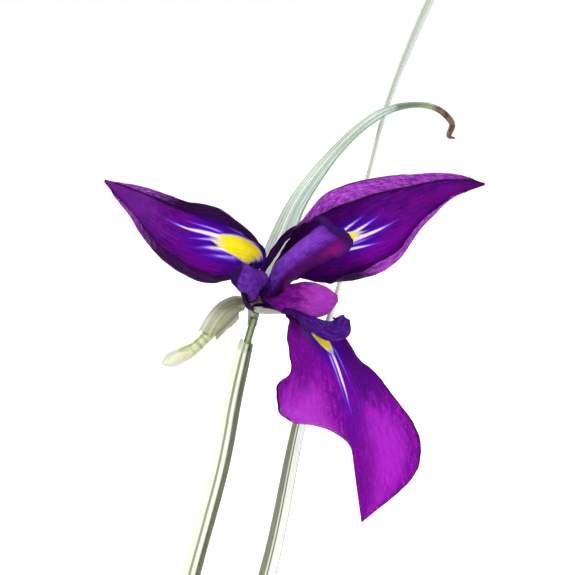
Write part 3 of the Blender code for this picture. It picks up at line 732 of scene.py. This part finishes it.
tubePath = fromThroat([(-0.5, 5.1, -6.3), (-1.3, 5.2, -4.2), (-1.8, 4, -1.9), (-1.3, 2.4, -0.8), (0, 0, 0)])
tube = {"spine": tubePath, "radii": [1.2, 1.6, 2.2, 2.9, 4.6], "rows": 40, "sides": 36, "ribs": (6, 0.05),
        "lumps": 0.04, "scale": bloom}
tubeFinish = leafFinish("tubeGreen", {
    "dark": (0.13, 0.13, 0.07), "light": (0.34, 0.36, 0.20), "tint": (0.20, 0.17, 0.17),
    "edge": (0.30, 0.30, 0.20), "ribs": 40, "blanch": 1.0, "foot": (0.36, 0.42, 0.18), "pale": 0.4,
    "wither": 2.0,
    "bands": [(0.10, 0.22, (0.05, 0.01, 0.09), 0.9), (0.45, 0.55, (0.05, 0.01, 0.09), 0.8),
              (0.76, 0.86, (0.06, 0.01, 0.10), 0.9)]})
belong(stalk("perianthTube", tube, tubeFinish), "stem", "perianth_tube")


def wrapped(path, radii, face, wrap):  # a leaf rolled round a path, open where it faces
    spine = []
    for i, (point, radius) in enumerate(zip(path, radii)):
        spine.append(point - square(np.array(face, float), heading(path, i)) * radius * mm)
    widths = [radius * math.radians(wrap) for radius in radii]
    return {"spine": spine, "face": [face, face], "cup": both(wrap, wrap), **even(*widths)}


sheathPath = [smooth(stemPath, 0.24 + 0.55 * k / 13) for k in range(14)]  # from 0.24 to 0.79 of the stem
sheathRadii = [smooth([3.1, 3.1, 3.1, 3.1, 2.9, 2.3], k / 13) for k in range(14)]
sheath = {**wrapped(sheathPath, sheathRadii, (0.8, -0.6, 0), 150), "rows": 150, "half": 14, "thick": 0.5,
          "crumple": [(0.12, 12, 0.1)], "fray": (3.0, 3)}
sheathFinish = leafFinish("stemSheath", {
    "dark": (0.70, 0.74, 0.55), "light": (0.90, 0.92, 0.82), "tint": (0.86, 0.89, 0.70),
    "edge": (0.44, 0.48, 0.28), "ribs": 60, "blanch": 0.0, "wither": 1.02,
    "rungs": [(0.90, 1.1, (0.28, 0.38, 0.27), 0.55)],
    "bands": [(0.66, 0.70, (0.20, 0.24, 0.10), 0.85), (0.345, 0.58, (0.13, 0.16, 0.06), 0.85),
              (0.29, 0.31, (0.30, 0.34, 0.20), 0.6), (0.21, 0.23, (0.34, 0.38, 0.24), 0.6),
              (0.09, 0.15, (0.10, 0.13, 0.04), 0.85)]})
belong(blade("stemSheath", sheath, sheathFinish, sheathFinish), "sheath", "stem_sheath")

spathePath = fromThroat([(-3.2, 4.4, -2.2), (-6.2, 4.1, -3.2), (-10, 3.4, -5.4), (-13.6, 2.3, -8.9),
                         (-17, 0.9, -13.2)])
spathe = {**wrapped(spathePath, [2.2, 3.9, 4.5, 4.3, 3.5], (0.3, 0.2, -1), 150),
          "rows": 60, "half": 20, "thick": 0.5, "scale": bloom, "crumple": [(0.35, 3.0, 0.0)],
          "fray": (1.6, 6)}
spatheFinish = leafFinish("spathe", {
    "dark": (0.20, 0.21, 0.11), "light": (0.50, 0.51, 0.37), "tint": (0.36, 0.38, 0.23),
    "edge": (0.12, 0.13, 0.06), "ribs": 36, "blanch": 0.4, "foot": (0.24, 0.26, 0.10), "pale": 0.3,
    "wither": 1.02,
    # The first band is a painted highlight: the pale strip along the middle lightens the spathe's top, which
    # faces up.
    "bands": [(0.34, 0.58, (0.56, 0.57, 0.48), 0.55), (0.14, 0.20, (0.12, 0.12, 0.05), 0.6),
              (0.80, 0.86, (0.12, 0.12, 0.05), 0.6)]})
belong(blade("budSpathe", spathe, spatheFinish, spatheFinish), "sheath", "spathe")

bud = {"spine": fromThroat([(-8.4, 3.7, -4.4), (-9.8, 3.3, -5.2), (-12.7, 2.5, -7.9), (-16.9, 1.5, -13),
                            (-19.7, 1, -15.7), (-23.2, 0.5, -18.4), (-28.1, 0, -20.8), (-33, -1, -22.7)]),
       "radii": [0.6, 0.8, 1.2, 1.8, 2.2, 2.2, 2.1, 2, 2, 2.1, 2.2, 2.4, 2.7, 2.8, 2.3, 0.5],
       "rows": 90, "sides": 36, "ribs": (3, 0.05), "lumps": 0.12, "scale": bloom}
budFinish = leafFinish("sideBud", {
    "dark": (0.40, 0.46, 0.22), "light": (0.70, 0.71, 0.47), "tint": (0.64, 0.64, 0.42),
    "edge": (0.58, 0.60, 0.38), "ribs": 24, "blanch": 0.0, "wither": 2.0,
    "bands": [(0.12, 0.22, (0.22, 0.30, 0.08), 0.6), (0.40, 0.48, (0.26, 0.34, 0.12), 0.5),
              (0.66, 0.80, (0.66, 0.62, 0.40), 0.6)],
    "rungs": [(0.46, 0.50, (0.20, 0.28, 0.08), 0.6), (0.57, 0.61, (0.17, 0.24, 0.06), 0.7),
              (0.67, 0.69, (0.22, 0.30, 0.10), 0.5), (0.80, 1.1, (0.62, 0.63, 0.55), 0.6)]})
belong(stalk("sideBud", bud, budFinish), "sheath", "side_bud")
print("stem, sheath and bud in place")


# ---- flower ----

mouthAxis = unit(np.array([0.45, -0.84, 0.28]))
mouthSteps = ((1.4, 1), (5, 1.35))  # mm along that axis, and how far the ring has spread there
whorls = {"fall": 3.8, "standard": 4.1, "style": 1.4, "stamen": 2.6}  # mm from the tube's middle
nodeNames = {"fall": "fall_", "standard": "standard_", "style": "style_arm_"}


def spoke(azimuth):  # away from the tube's axis
    right = unit(np.cross([0, 0, 1], mouthAxis))
    turn = math.radians(azimuth)
    return right * math.cos(turn) + np.cross(mouthAxis, right) * math.sin(turn)


def fromMouth(azimuth, kind):
    return [throat + (mouthAxis * lift + spoke(azimuth) * whorls[kind] * spread) * bloom * mm
            for lift, spread in mouthSteps]


def grownFrom(kind, petal):  # a spine from the mouth on, and the way its face looks
    azimuth = petal["azimuth"]
    return (fromMouth(azimuth, kind) + fromThroat(petal["spine"]),
            [-spoke(azimuth)] * 2 + list(petal["face"]))


def grownPetal(kind, side, petal, face, back):
    spine, facing = grownFrom(kind, petal)
    shape = {**petal, "spine": spine, "face": facing, "scale": bloom}
    belong(blade(kind + side.title(), shape, face, back), kind, nodeNames[kind] + side)


def veinNet(petal, side, far, wide):  # veins that fan out to the edge, and a net between them
    bend = petal.cloud(petal.place(far, wide), 9, 3)
    fanned = petal.fade(abs(petal.wave(side * 64 + bend * 3.0)), 0.0, 0.3)
    slant = petal.fade(abs(petal.wave(abs(side - 0.5) * 70 - far * 34 + bend * 3.0)), 0.0, 0.3)
    net = petal.fade(petal.cells(petal.place(far * 60, wide * 130, bend * 1.5), 1.0), 0.0, 0.2)
    return fanned * 0.5 + slant * 0.45 + net * 0.35


def highlightSpeckle(petal, far, wide, net):  # painted highlight: lighter flecks on the raised skin between the veins, where it would catch light
    fine = petal.cloud(petal.place(far * 28, wide * 75), 1.6, 3, 0.6, 0.6)
    return petal.step(fine, 0.48, 0.66) * petal.step(net, 0.0, 0.4, 1, 0.2)


def patched(petal, colour, at, v, wander, patches):
    for start, end, low, high, soft, tone, strength in patches:  # soft-edged areas along and across
        drift = (wander - 0.5) * soft
        area = petal.between(at + drift, start, end, soft / 2) * petal.between(v + drift, low, high, soft)
        colour = petal.mix(area * strength, colour, tone)
    return colour


def signalRays(petal, rays, along, across, streak):  # pale lines that spread from the signal
    strongest = 0.0
    for first, last, near, out, girth, bow, bright in rays:
        share = (along - first) / (last - first)
        centre = near + (out - near) * share + bow * share * (1 - share) * 4 + (streak - 0.5) * 0.5
        off = abs(across - centre) / (girth * (1.2 - share))
        ends = petal.step(share, -0.1, 0.12) * petal.fade(share, 0.3, 1.0)
        strongest = petal.most(petal.step(off, 0.0, 1.0, bright, 0) * ends, strongest)
    return strongest * petal.step(streak, 0.25, 0.55, 0.6, 1)


def signalPatch(petal, signal, along, across, ragged):  # the yellow area, blunt at its foot
    start, end, middle, width = signal
    share = (along - start) / (end - start)
    swell = petal.most(1 - abs(share * 2 - 0.6) ** 2 * 0.6, 0.2)
    spread = abs(across - middle) / (width * swell)
    ends = petal.step(share + ragged * 0.25, 0.0, 0.1) * petal.fade(share + ragged * 0.8, 0.62, 0.98)
    return petal.fade(spread + ragged * 0.5, 0.7, 1.0) * ends


def fallFace(name, facts):  # a fall's upper side, which carries the signal
    petal = Finish(name, Specular_IOR_Level=0.03)
    at, side = petal.pair("share")
    far, wide = petal.pair("length")
    along, across = far * 100, (wide - 0.5) * 100  # mm
    v = side * 2 - 1
    net = veinNet(petal, side, far, wide)
    blotch = petal.cloud(petal.place(far * 5, wide * 9), 3.0, 4, 0.6)
    streak = petal.cloud(petal.place(far * 3, wide * 40), 2.0, 4, 0.6)
    dapple = petal.cloud(petal.place(far * 9, wide * 46), 2.5, 4, 0.7, 0.5)
    colour = petal.mix(petal.step(blotch, 0.35, 0.65), facts["field"], facts["bright"])
    colour = petal.mix(petal.step(streak, 0.5, 0.72) * 0.35, colour, facts["violet"])
    colour = petal.mix(net * facts["veins"], colour, facts["vein"])
    # painted highlight: lighter flecks between the veins
    colour = petal.mix(highlightSpeckle(petal, far, wide, net) * facts["highlightSpeckle"], colour, facts["light"])
    colour = petal.mix(petal.fade(dapple, 0.35, 0.5) * facts["dapple"], colour, facts["vein"])
    colour = petal.mix(petal.step(dapple, 0.56, 0.7) * facts["dapple"], colour, facts["light"])
    colour = patched(petal, colour, at, v, blotch, facts["patches"])

    start, end, middle, width = facts["signal"]
    reach = ((along - (start + end) / 2) / (end - start)) ** 2 + ((across - middle) / (width * 2.6)) ** 2
    colour = petal.mix(petal.fade(reach, 0.2, 1.1) * 0.85, colour, facts["halo"])
    rays = signalRays(petal, facts["rays"], along, across, streak)
    colour = petal.mix(petal.step(rays, 0.0, 0.45), colour, facts["rayEdge"])
    colour = petal.mix(petal.step(rays, 0.35, 0.85), colour, facts["ray"])
    ragged = (petal.cloud(petal.place(far * 6, wide * 60), 2.5, 4, 0.7) - 0.5) * 0.9
    patch = signalPatch(petal, facts["signal"], along, across, ragged)
    yellow = petal.mix(petal.step(streak, 0.35, 0.7), (0.84, 0.62, 0.008), (0.90, 0.74, 0.03))
    yellow = petal.mix(petal.step(patch, 0.75, 1.0), (0.86, 0.78, 0.45), yellow)
    colour = petal.mix(patch, colour, yellow)

    haft = petal.mix(petal.step(streak, 0.4, 0.6), (0.30, 0.28, 0.20), (0.52, 0.52, 0.40))
    colour = petal.mix(petal.fade(at, 0.20, 0.26), colour, haft)
    colour = petal.mix(petal.step(abs(v), 0.955, 0.99), colour, (0.010, 0.002, 0.018))
    petal.give(Base_Color=colour, Roughness=petal.step(net, 0, 1.2, 0.52, 0.66),
               Normal=petal.bump(net * -0.6 + streak * 0.9 + blotch * 0.8, 0.00035, 0.9))
    return petal


def petalPlain(name, facts):  # backs, standards and style arms
    petal = Finish(name, Specular_IOR_Level=0.03)
    at, side = petal.pair("share")
    far, wide = petal.pair("length")
    v = side * 2 - 1
    net = veinNet(petal, side, far, wide)
    blotch = petal.cloud(petal.place(far * 9, wide * 14), 4.0, 4, 0.6)
    streak = petal.cloud(petal.place(far * 3, wide * 45), 2.0, 4, 0.6)
    colour = petal.mix(petal.step(blotch, 0.38, 0.62), facts["field"], facts["bright"])
    colour = petal.mix(petal.step(streak, 0.5, 0.7) * 0.5, colour, facts["violet"])
    colour = petal.mix(net * facts.get("veins", 0.4), colour, facts["vein"])
    # painted highlight: lighter flecks between the veins
    colour = petal.mix(highlightSpeckle(petal, far, wide, net) * facts.get("highlightSpeckle", 0.3), colour, facts["light"])
    colour = patched(petal, colour, at, v, blotch, facts.get("patches", ()))
    outline = petal.step(abs(v), 0.955, 0.99)
    if "crease" in facts:  # painted shade: a dark line where a rolled margin turns over at its fold
        outline = outline + petal.fade(abs(abs(v) - facts["crease"]), 0.012, 0.03)
    colour = petal.mix(outline * facts.get("outline", 1.0), colour, (0.012, 0.003, 0.022))
    petal.give(Base_Color=colour, Roughness=petal.step(net, 0, 1.2, 0.48, 0.62),
               Normal=petal.bump(net * -0.6 + streak * 0.9 + blotch * 1.6, 0.0006, 1.0))
    return petal


# Rays hold start, end, near and far offset, girth, bow and brightness; a signal holds start, end, middle
# and half width, all in mm. A patch holds its span along and across in shares, softness, tone and strength.
purple = {"field": (0.066, 0.0005, 0.15), "bright": (0.125, 0.0008, 0.22), "violet": (0.045, 0.0008, 0.19),
          "light": (0.16, 0.006, 0.30), "vein": (0.035, 0.0006, 0.08), "halo": (0.040, 0.001, 0.26),
          "ray": (0.78, 0.66, 0.92), "rayEdge": (0.13, 0.04, 0.60),
          "veins": 0.5, "highlightSpeckle": 0.3, "dapple": 0.3}
lilac = {"field": (0.20, 0.018, 0.30), "bright": (0.36, 0.06, 0.50), "violet": (0.16, 0.016, 0.28),
         "light": (0.50, 0.12, 0.62), "vein": (0.10, 0.005, 0.18), "veins": 0.5, "highlightSpeckle": 0.75}
nearBlack = (0.014, 0.0012, 0.030)
# painted shade colour, used just inside the falls' rolled margins
rollShade = (0.022, 0.0015, 0.042)
greenWhite = (0.52, 0.52, 0.42)

falls = {
    "left": {
        "azimuth": 150,
        "spine": [(-3.2, -2.8, 9), (-1, -7, 15.5), (-6, -9, 20), (-15, -8, 23), (-26, -5, 26), (-39, 3, 33),
                  (-53, 13, 40)],
        "face": [(0.9, -0.5, -0.15), (0.4, -1, 0.1), (0, -1, 0), (0, -1, 0.1)] + [(0, -1, 0.2)] * 3,
        "left": [3.2, 2.6, 3, 9, 17, 20.5, 17, 8.6, 0.3],
        "right": [3.2, 3, 3, 5.4, 10.6, 14.8, 14.2, 8.4, 0.3],
        "cup": both(35, 35, 35, 25, 14, 14, 14, 14, 0),
        "roll": both(0, 0, 0, 60) + [(120, 130), (135, 155), (150, 165), (150, 165), (140, 150)],
        "paint": {**purple, "signal": (17, 38.5, 0.7, 4.2),
                  "rays": [(32, 58, 1.8, 0.0, 1.2, 0.4, 1.0), (32, 50, 3.4, 3.4, 0.8, 0.3, 0.55),
                           (28, 43, -1.6, -5.0, 1.8, 0.3, 0.75), (22, 34, 4.8, 5.8, 1.6, 0.3, 0.5),
                           (24, 40, -3.4, -6.8, 1.6, 0.2, 0.6), (33, 46, 0.2, -2.4, 0.9, 0.2, 0.6)],
                  # The first two patches are painted shade: a dark band just inside each rolled margin, where
                  # the rolled strip would shade the face.
                  "patches": [(0.3, 1.1, 0.44, 1.1, 0.10, rollShade, 0.95),
                              (0.3, 1.1, -1.1, -0.58, 0.08, rollShade, 0.8),
                              (0.84, 1.1, -1.1, 1.1, 0.16, (0.14, 0.02, 0.24), 0.6),
                              (0.56, 0.74, 0.12, 0.40, 0.12, (0.14, 0.001, 0.24), 0.7),
                              (0.48, 0.70, -0.55, -0.28, 0.12, (0.15, 0.001, 0.27), 0.8)]},
        "backPaint": {"bright": (0.24, 0.05, 0.36), "light": (0.34, 0.15, 0.44), "patches": [
            (-0.1, 0.84, 0, 1.1, 0.12, nearBlack, 0.97), (-0.1, 0.82, -1.1, 0, 0.16, nearBlack, 0.92)]},
    },
    "right": {
        "azimuth": 30,
        "spine": [(10, -3, 11), (20, -6, 17), (31, -8, 22), (43, -8, 27), (55, -3, 32), (67, 4, 37),
                  (80, 12, 39)],
        "face": [(-0.3, -0.7, 0.6), (0, -1, 0.3), (0, -1, 0.1)] + [(0, -1, 0)] * 4,
        "left": [3.2, 3.2, 5, 15.5, 25, 25.5, 19, 10.5, 0.3],
        "right": [3.2, 3.2, 5, 13, 18.5, 17.5, 7.6, 2.8, 0.3],
        "cup": both(35, 35, 30, 15, 14, 14, 14, 0),
        "roll": both(0, 0) + [(70, 60), (150, 130), (165, 150), (165, 160), (140, 140)],
        "paint": {**purple, "signal": (28, 46, -1.0, 2.9),
                  "rays": [(38, 60, 0.2, -0.4, 1.2, 0.3, 1.0), (38, 54, -1.8, -5.2, 1.1, 0.3, 0.9),
                           (35, 49, -3.4, -7.6, 1.2, 0.2, 0.8), (35, 51, 2.2, 4.8, 1.0, 0.2, 0.8),
                           (38, 49, 1.2, 1.6, 0.9, 0.2, 0.6)],
                  # The first two patches are painted shade: dark bands just inside the rolled margins, under
                  # the rolled strips.
                  "patches": [(0.2, 1.1, -1.1, -0.50, 0.10, (0.035, 0.0015, 0.05), 0.9),
                              (0.3, 1.1, 0.6, 1.1, 0.08, rollShade, 0.8),
                              (0.50, 0.74, 0.2, 0.55, 0.15, (0.16, 0.001, 0.28), 0.8),
                              (0.74, 0.95, -0.3, 0.4, 0.15, (0.11, 0.001, 0.17), 0.7)]},
        "backPaint": {"patches": [(-0.1, 0.54, 0, 1.1, 0.08, nearBlack, 0.95),
                                  (-0.1, 0.42, -1.1, 0, 0.14, (0.05, 0.005, 0.09), 0.75),
                                  (0.93, 1.1, -1.1, 1.1, 0.06, nearBlack, 0.8)]},
    },
    "lower": {
        "azimuth": 270,
        "spine": [(13, -14, -2), (19, -19, -6), (26, -22, -13), (30, -24, -24), (32, -22, -37),
                  (34, -19, -54), (37, -15, -76)],
        "face": [(0.2, -0.2, 1), (0.4, -0.4, 0.9), (0.5, -0.8, 0.5), (0.4, -1, 0.2)] + [(0.2, -1, 0)] * 3,
        "left": [3.2, 3.2, 3.4, 3.6, 3.8, 4.2, 5.2, 6.6, 7.6, 9.4, 12.6, 16, 19.2, 23.5, 25.5, 20, 0.3],
        "right": [3.4, 4.2, 4.6, 5, 5.2, 9, 15, 19.5, 23, 25, 25.0, 22.8, 18.6, 14, 9, 5, 0.3],
        "hinge": [(0, 0)] * 11 + [(0, -4), (0, -20), (0, -65), (0, -130), (0, -150), (0, -150)],
        "cup": [(35, 75), (30, 80), (20, 50), (-10, 12), (-15, 5), (-15, 0), (-15, 0), (-15, 0), (0, 0)],
        "paint": {**purple, "field": (0.15, 0.0008, 0.24), "bright": (0.25, 0.0015, 0.35),
                  "vein": (0.085, 0.0006, 0.15), "light": (0.46, 0.03, 0.58), "violet": (0.10, 0.0008, 0.24),
                  "veins": 0.95, "highlightSpeckle": 0.35, "dapple": 0.6, "signal": (27, 39, 0.3, 2.4),
                  "rays": [(36, 66, 0.4, -2.4, 0.9, 0.9, 0.9), (36, 60, 1.5, -0.6, 0.7, 0.9, 0.6),
                           (35, 54, -1.2, -3.6, 0.7, 0.6, 0.5)],
                  "patches": [(0.2, 0.56, 0.05, 1.1, 0.20, (0.12, 0.0006, 0.20), 0.6),
                              (0.36, 0.72, -1.1, -0.20, 0.16, (0.055, 0.0006, 0.15), 0.85),
                              (0.52, 0.82, -0.30, 0.12, 0.10, (0.07, 0.0008, 0.24), 0.65),
                              (0.60, 0.80, 0.35, 0.95, 0.16, (0.40, 0.03, 0.52), 0.7),
                              (0.74, 0.97, -0.75, -0.25, 0.16, (0.40, 0.02, 0.54), 0.6),
                              (0.78, 1.1, -0.30, 0.10, 0.20, (0.12, 0.0008, 0.20), 0.6)]},
        "backPaint": {"patches": [(-0.1, 0.40, -1.1, 1.1, 0.08, greenWhite, 0.95)]},
    },
}
for side, petal in falls.items():
    petal.update(rows=150, half=36, thick=0.5, crumple=[(0.75, 2.8, 0.64), (0.8, 11, 0.3)],
                 frill=(0.6, 7, 0.75))
    under = {**lilac, **petal["backPaint"]}
    if "roll" in petal:
        # painted shade line at the middle of the roll, where the margin turns over
        under["crease"] = 0.745
    face = fallFace("fall" + side.title() + "Face", petal["paint"])
    grownPetal("fall", side, petal, face, petalPlain("fall" + side.title() + "Back", under))
print("falls opened")

standardTones = {"field": (0.11, 0.002, 0.16), "bright": (0.20, 0.006, 0.27), "violet": (0.08, 0.001, 0.16),
                 "light": (0.36, 0.05, 0.44), "vein": (0.05, 0.001, 0.09)}
standards = {
    "right": {
        "azimuth": 330,
        "spine": [(7, -11, 3.4), (14, -17, 4.0), (21, -21, 4.2), (28, -22.5, 5.4)],
        "face": [(0.1, -0.6, 0.8), (0.2, -1, 0.5), (0.2, -1, 0.4), (0.2, -1, 0.4)],
        "left": [2.0, 2.4, 3.2, 4.3, 5.4, 6.3, 6.8, 6.8, 6.2, 4.9, 1.2],
        "right": [2.0, 2.4, 3.1, 4.1, 5.0, 5.8, 6.2, 6.2, 5.6, 4.4, 1.0],
        "cup": both(14, 22, 24, -10, -20, -20),
        # The first patch is a painted highlight: the lighter pink far end.
        "paint": {**standardTones, "patches": [(0.66, 1.1, -1.1, 1.1, 0.25, (0.44, 0.05, 0.52), 0.75),
                                               (-0.1, 0.44, -1.1, 1.1, 0.14, (0.045, 0.001, 0.09), 0.85),
                                               (0.3, 0.7, -0.12, 0.12, 0.10, (0.09, 0.001, 0.15), 0.6)]},
    },
    "upper": {
        "azimuth": 90,
        "spine": [(3, 1.5, 10), (6.5, 4, 14.5), (10.5, 4, 20.5), (15.5, 3, 24.6), (21.5, 1, 26.6)],
        "face": [(0.5, -1, 0), (0.4, -1, 0.2), (0.3, -1, 0.3), (0, -1, 0.6), (0, -1, 0.6)],
        "left": [2, 2.2, 2.5, 2.6, 2.4, 1.8, 0.5],
        "right": [2, 1.4, 0.5, 0.2, 0.3, 0.8, 0.4],
        "cup": both(14, 17, 20),
        "paint": {**standardTones, "field": (0.025, 0.001, 0.045), "bright": (0.05, 0.002, 0.09),
                  "highlightSpeckle": 0.1},
    },
    "rear": {
        "azimuth": 210,
        "spine": [(-3.8, -2.6, 0.4), (-5.4, 1.5, 4), (-7, 5, 9), (-9, 7, 15), (-10, 8, 19)],
        "face": [(0.9, 0.3, 0.1), (0.9, 0, -0.2), (0.6, -0.8, 0.1), (0.2, -1, 0.2), (0, -1, 0.2)],
        **even(1, 1.4, 1.6, 2, 3, 3, 0.5),
        "cup": both(14, 17, 10),
        "paint": {**standardTones, "field": (0.02, 0.001, 0.04), "bright": (0.05, 0.002, 0.09),
                  "light": (0.10, 0.01, 0.16)},
    },
}
for side, petal in standards.items():
    petal.update(rows=60, half=16, thick=0.5, crumple=[(0.25, 3, 0.2)], frill=(0.3, 3, 0.5))
    face = petalPlain("standard" + side.title(), petal["paint"])
    grownPetal("standard", side, petal, face, face)

styleTones = {"field": (0.10, 0.013, 0.31), "bright": (0.17, 0.034, 0.44), "violet": (0.07, 0.006, 0.24),
              "light": (0.26, 0.10, 0.58), "vein": (0.045, 0.003, 0.14), "veins": 0.25, "highlightSpeckle": 0.25,
              "outline": 0.7}
styles = {
    "right": {
        "azimuth": 30,
        "spine": [(8, -9, 12), (15, -14, 20), (21.5, -18, 25.5), (25.5, -19.5, 28), (27.5, -19, 31)],
        "face": [(-0.3, -1, 0.5)] * 3 + [(-0.3, -1, 0.6), (-0.1, -1, 0.3)],
        "left": [2.6, 3.4, 4.6, 6, 6.5, 6.5, 7.5, 8.6, 7],
        "right": [2.6, 3.4, 5.4, 7.6, 9, 9.5, 9.5, 9, 7],
        "cup": both(-60, -65, -75, -85, -85, -80) + [(-50, -60), (-10, -30), (10, -10)],
        # The first patch is a painted highlight along the arm's ridge; the second is painted shade down its
        # lower flank.
        "paint": {**styleTones, "patches": [(0.40, 0.74, -0.5, 0.1, 0.15, (0.27, 0.065, 0.62), 0.55),
                                            (0.2, 0.9, 0.32, 1.1, 0.14, (0.07, 0.0012, 0.085), 0.9),
                                            (0.64, 0.84, 0.5, 0.82, 0.16, (0.26, 0.004, 0.19), 0.7),
                                            (0.86, 1.1, -1.1, 1.1, 0.05, (0.028, 0.004, 0.075), 0.9)]},
    },
    "left": {
        "azimuth": 150,
        "spine": [(1.6, -10, 7), (0.6, -14, 10), (-1.6, -17, 12.4), (-4.4, -18.5, 13.8), (-7.4, -17.5, 14.4)],
        "face": [(0.1, -1, 0.5), (0.1, -1, 0.6), (0.1, -1, 0.7), (0.1, -1, 0.8), (0, -0.7, 1)],
        **even(2.6, 3.4, 5, 6.2, 7, 7.2, 6.6, 4.6),
        "cup": both(-60, -70, -80, -80, -80, -60),
        "fray": (0.4, 3), "notch": 0.5, "frill": (0, 1, 0.5), "crumple": [(0.2, 3.5, 0.3)],
        "paint": {**styleTones, "patches": [(0.86, 1.1, -1.1, 1.1, 0.06, (0.020, 0.003, 0.055), 0.95)]},
    },
    "lower": {
        "azimuth": 270,
        "spine": [(7, -11, 0.8), (13, -18, 0.8), (19, -24, -0.8), (24.5, -27, -3.2), (28.6, -27.5, -3.0),
                  (31, -26.5, 0)],
        "face": [(0.2, 0, 1), (0.3, 0, 1), (0.2, -0.5, 1), (0, -0.9, 0.8), (0.2, -1, 0.3)],
        "left": [2.2, 2.6, 3.2, 4, 4.8, 5.4, 5, 2],
        "right": [2.2, 2.6, 3.2, 4, 4.6, 5, 4.6, 2],
        "cup": both(-40, -50, -50, -45, -40) + [(-20, -30)],
        "fray": (0.4, 3), "notch": 0.4, "frill": (0.2, 2, 0.5),
        "paint": {**styleTones, "field": (0.035, 0.004, 0.13), "bright": (0.07, 0.010, 0.24),
                  "patches": [(0.1, 0.55, -1.1, 1.1, 0.15, (0.03, 0.002, 0.07), 0.7)]},
    },
}
for side, petal in styles.items():
    petal = {"rows": 90, "half": 20, "thick": 0.5, "crumple": [(0.3, 2.6, 0.3)], "frill": (0.3, 4, 0.6),
             "fray": (1.0, 4), "notch": 1.6, **petal}
    face = petalPlain("style" + side.title(), petal["paint"])
    grownPetal("style", side, petal, face, face)
print("standards and style arms in place")

filament = ((0.36, 1.6), (0.48, 1.7), (0.6, 1.8), (0.7, 1.7))  # share of the style arm, mm below it

anther = Finish("anther", Specular_IOR_Level=0.3)
pollen = anther.cloud(anther.where(), 2600, 3)
head = anther.step(anther.pair("share")[0], 0.52, 0.58)
dust = anther.mix(anther.step(pollen, 0.4, 0.65), (0.62, 0.45, 0.12), (0.86, 0.76, 0.38))
anther.give(Base_Color=anther.mix(head, (0.55, 0.50, 0.62), dust),
            Roughness=anther.step(head, 0, 1, 0.5, 0.9), Normal=anther.bump(pollen * head, 0.0003))
for side, petal in styles.items():
    arm, facing = grownFrom("style", petal)
    path = fromMouth(petal["azimuth"], "stamen")
    for share, below in filament:
        along = unit(smooth(arm, share + 0.02) - smooth(arm, share - 0.02))
        path.append(smooth(arm, share) - square(smooth(facing, share), along) * below * bloom * mm)
    shape = {"spine": path, "radii": [0.45, 0.45, 0.45, 0.4, 0.85, 0.95, 0.9, 0.3], "rows": 60, "sides": 16,
             "ribs": (2, 0.12), "lumps": 0.06, "scale": bloom}
    belong(stalk("stamen" + side.title(), shape, anther), "anther", "stamen_" + side)
print("stamens in place")
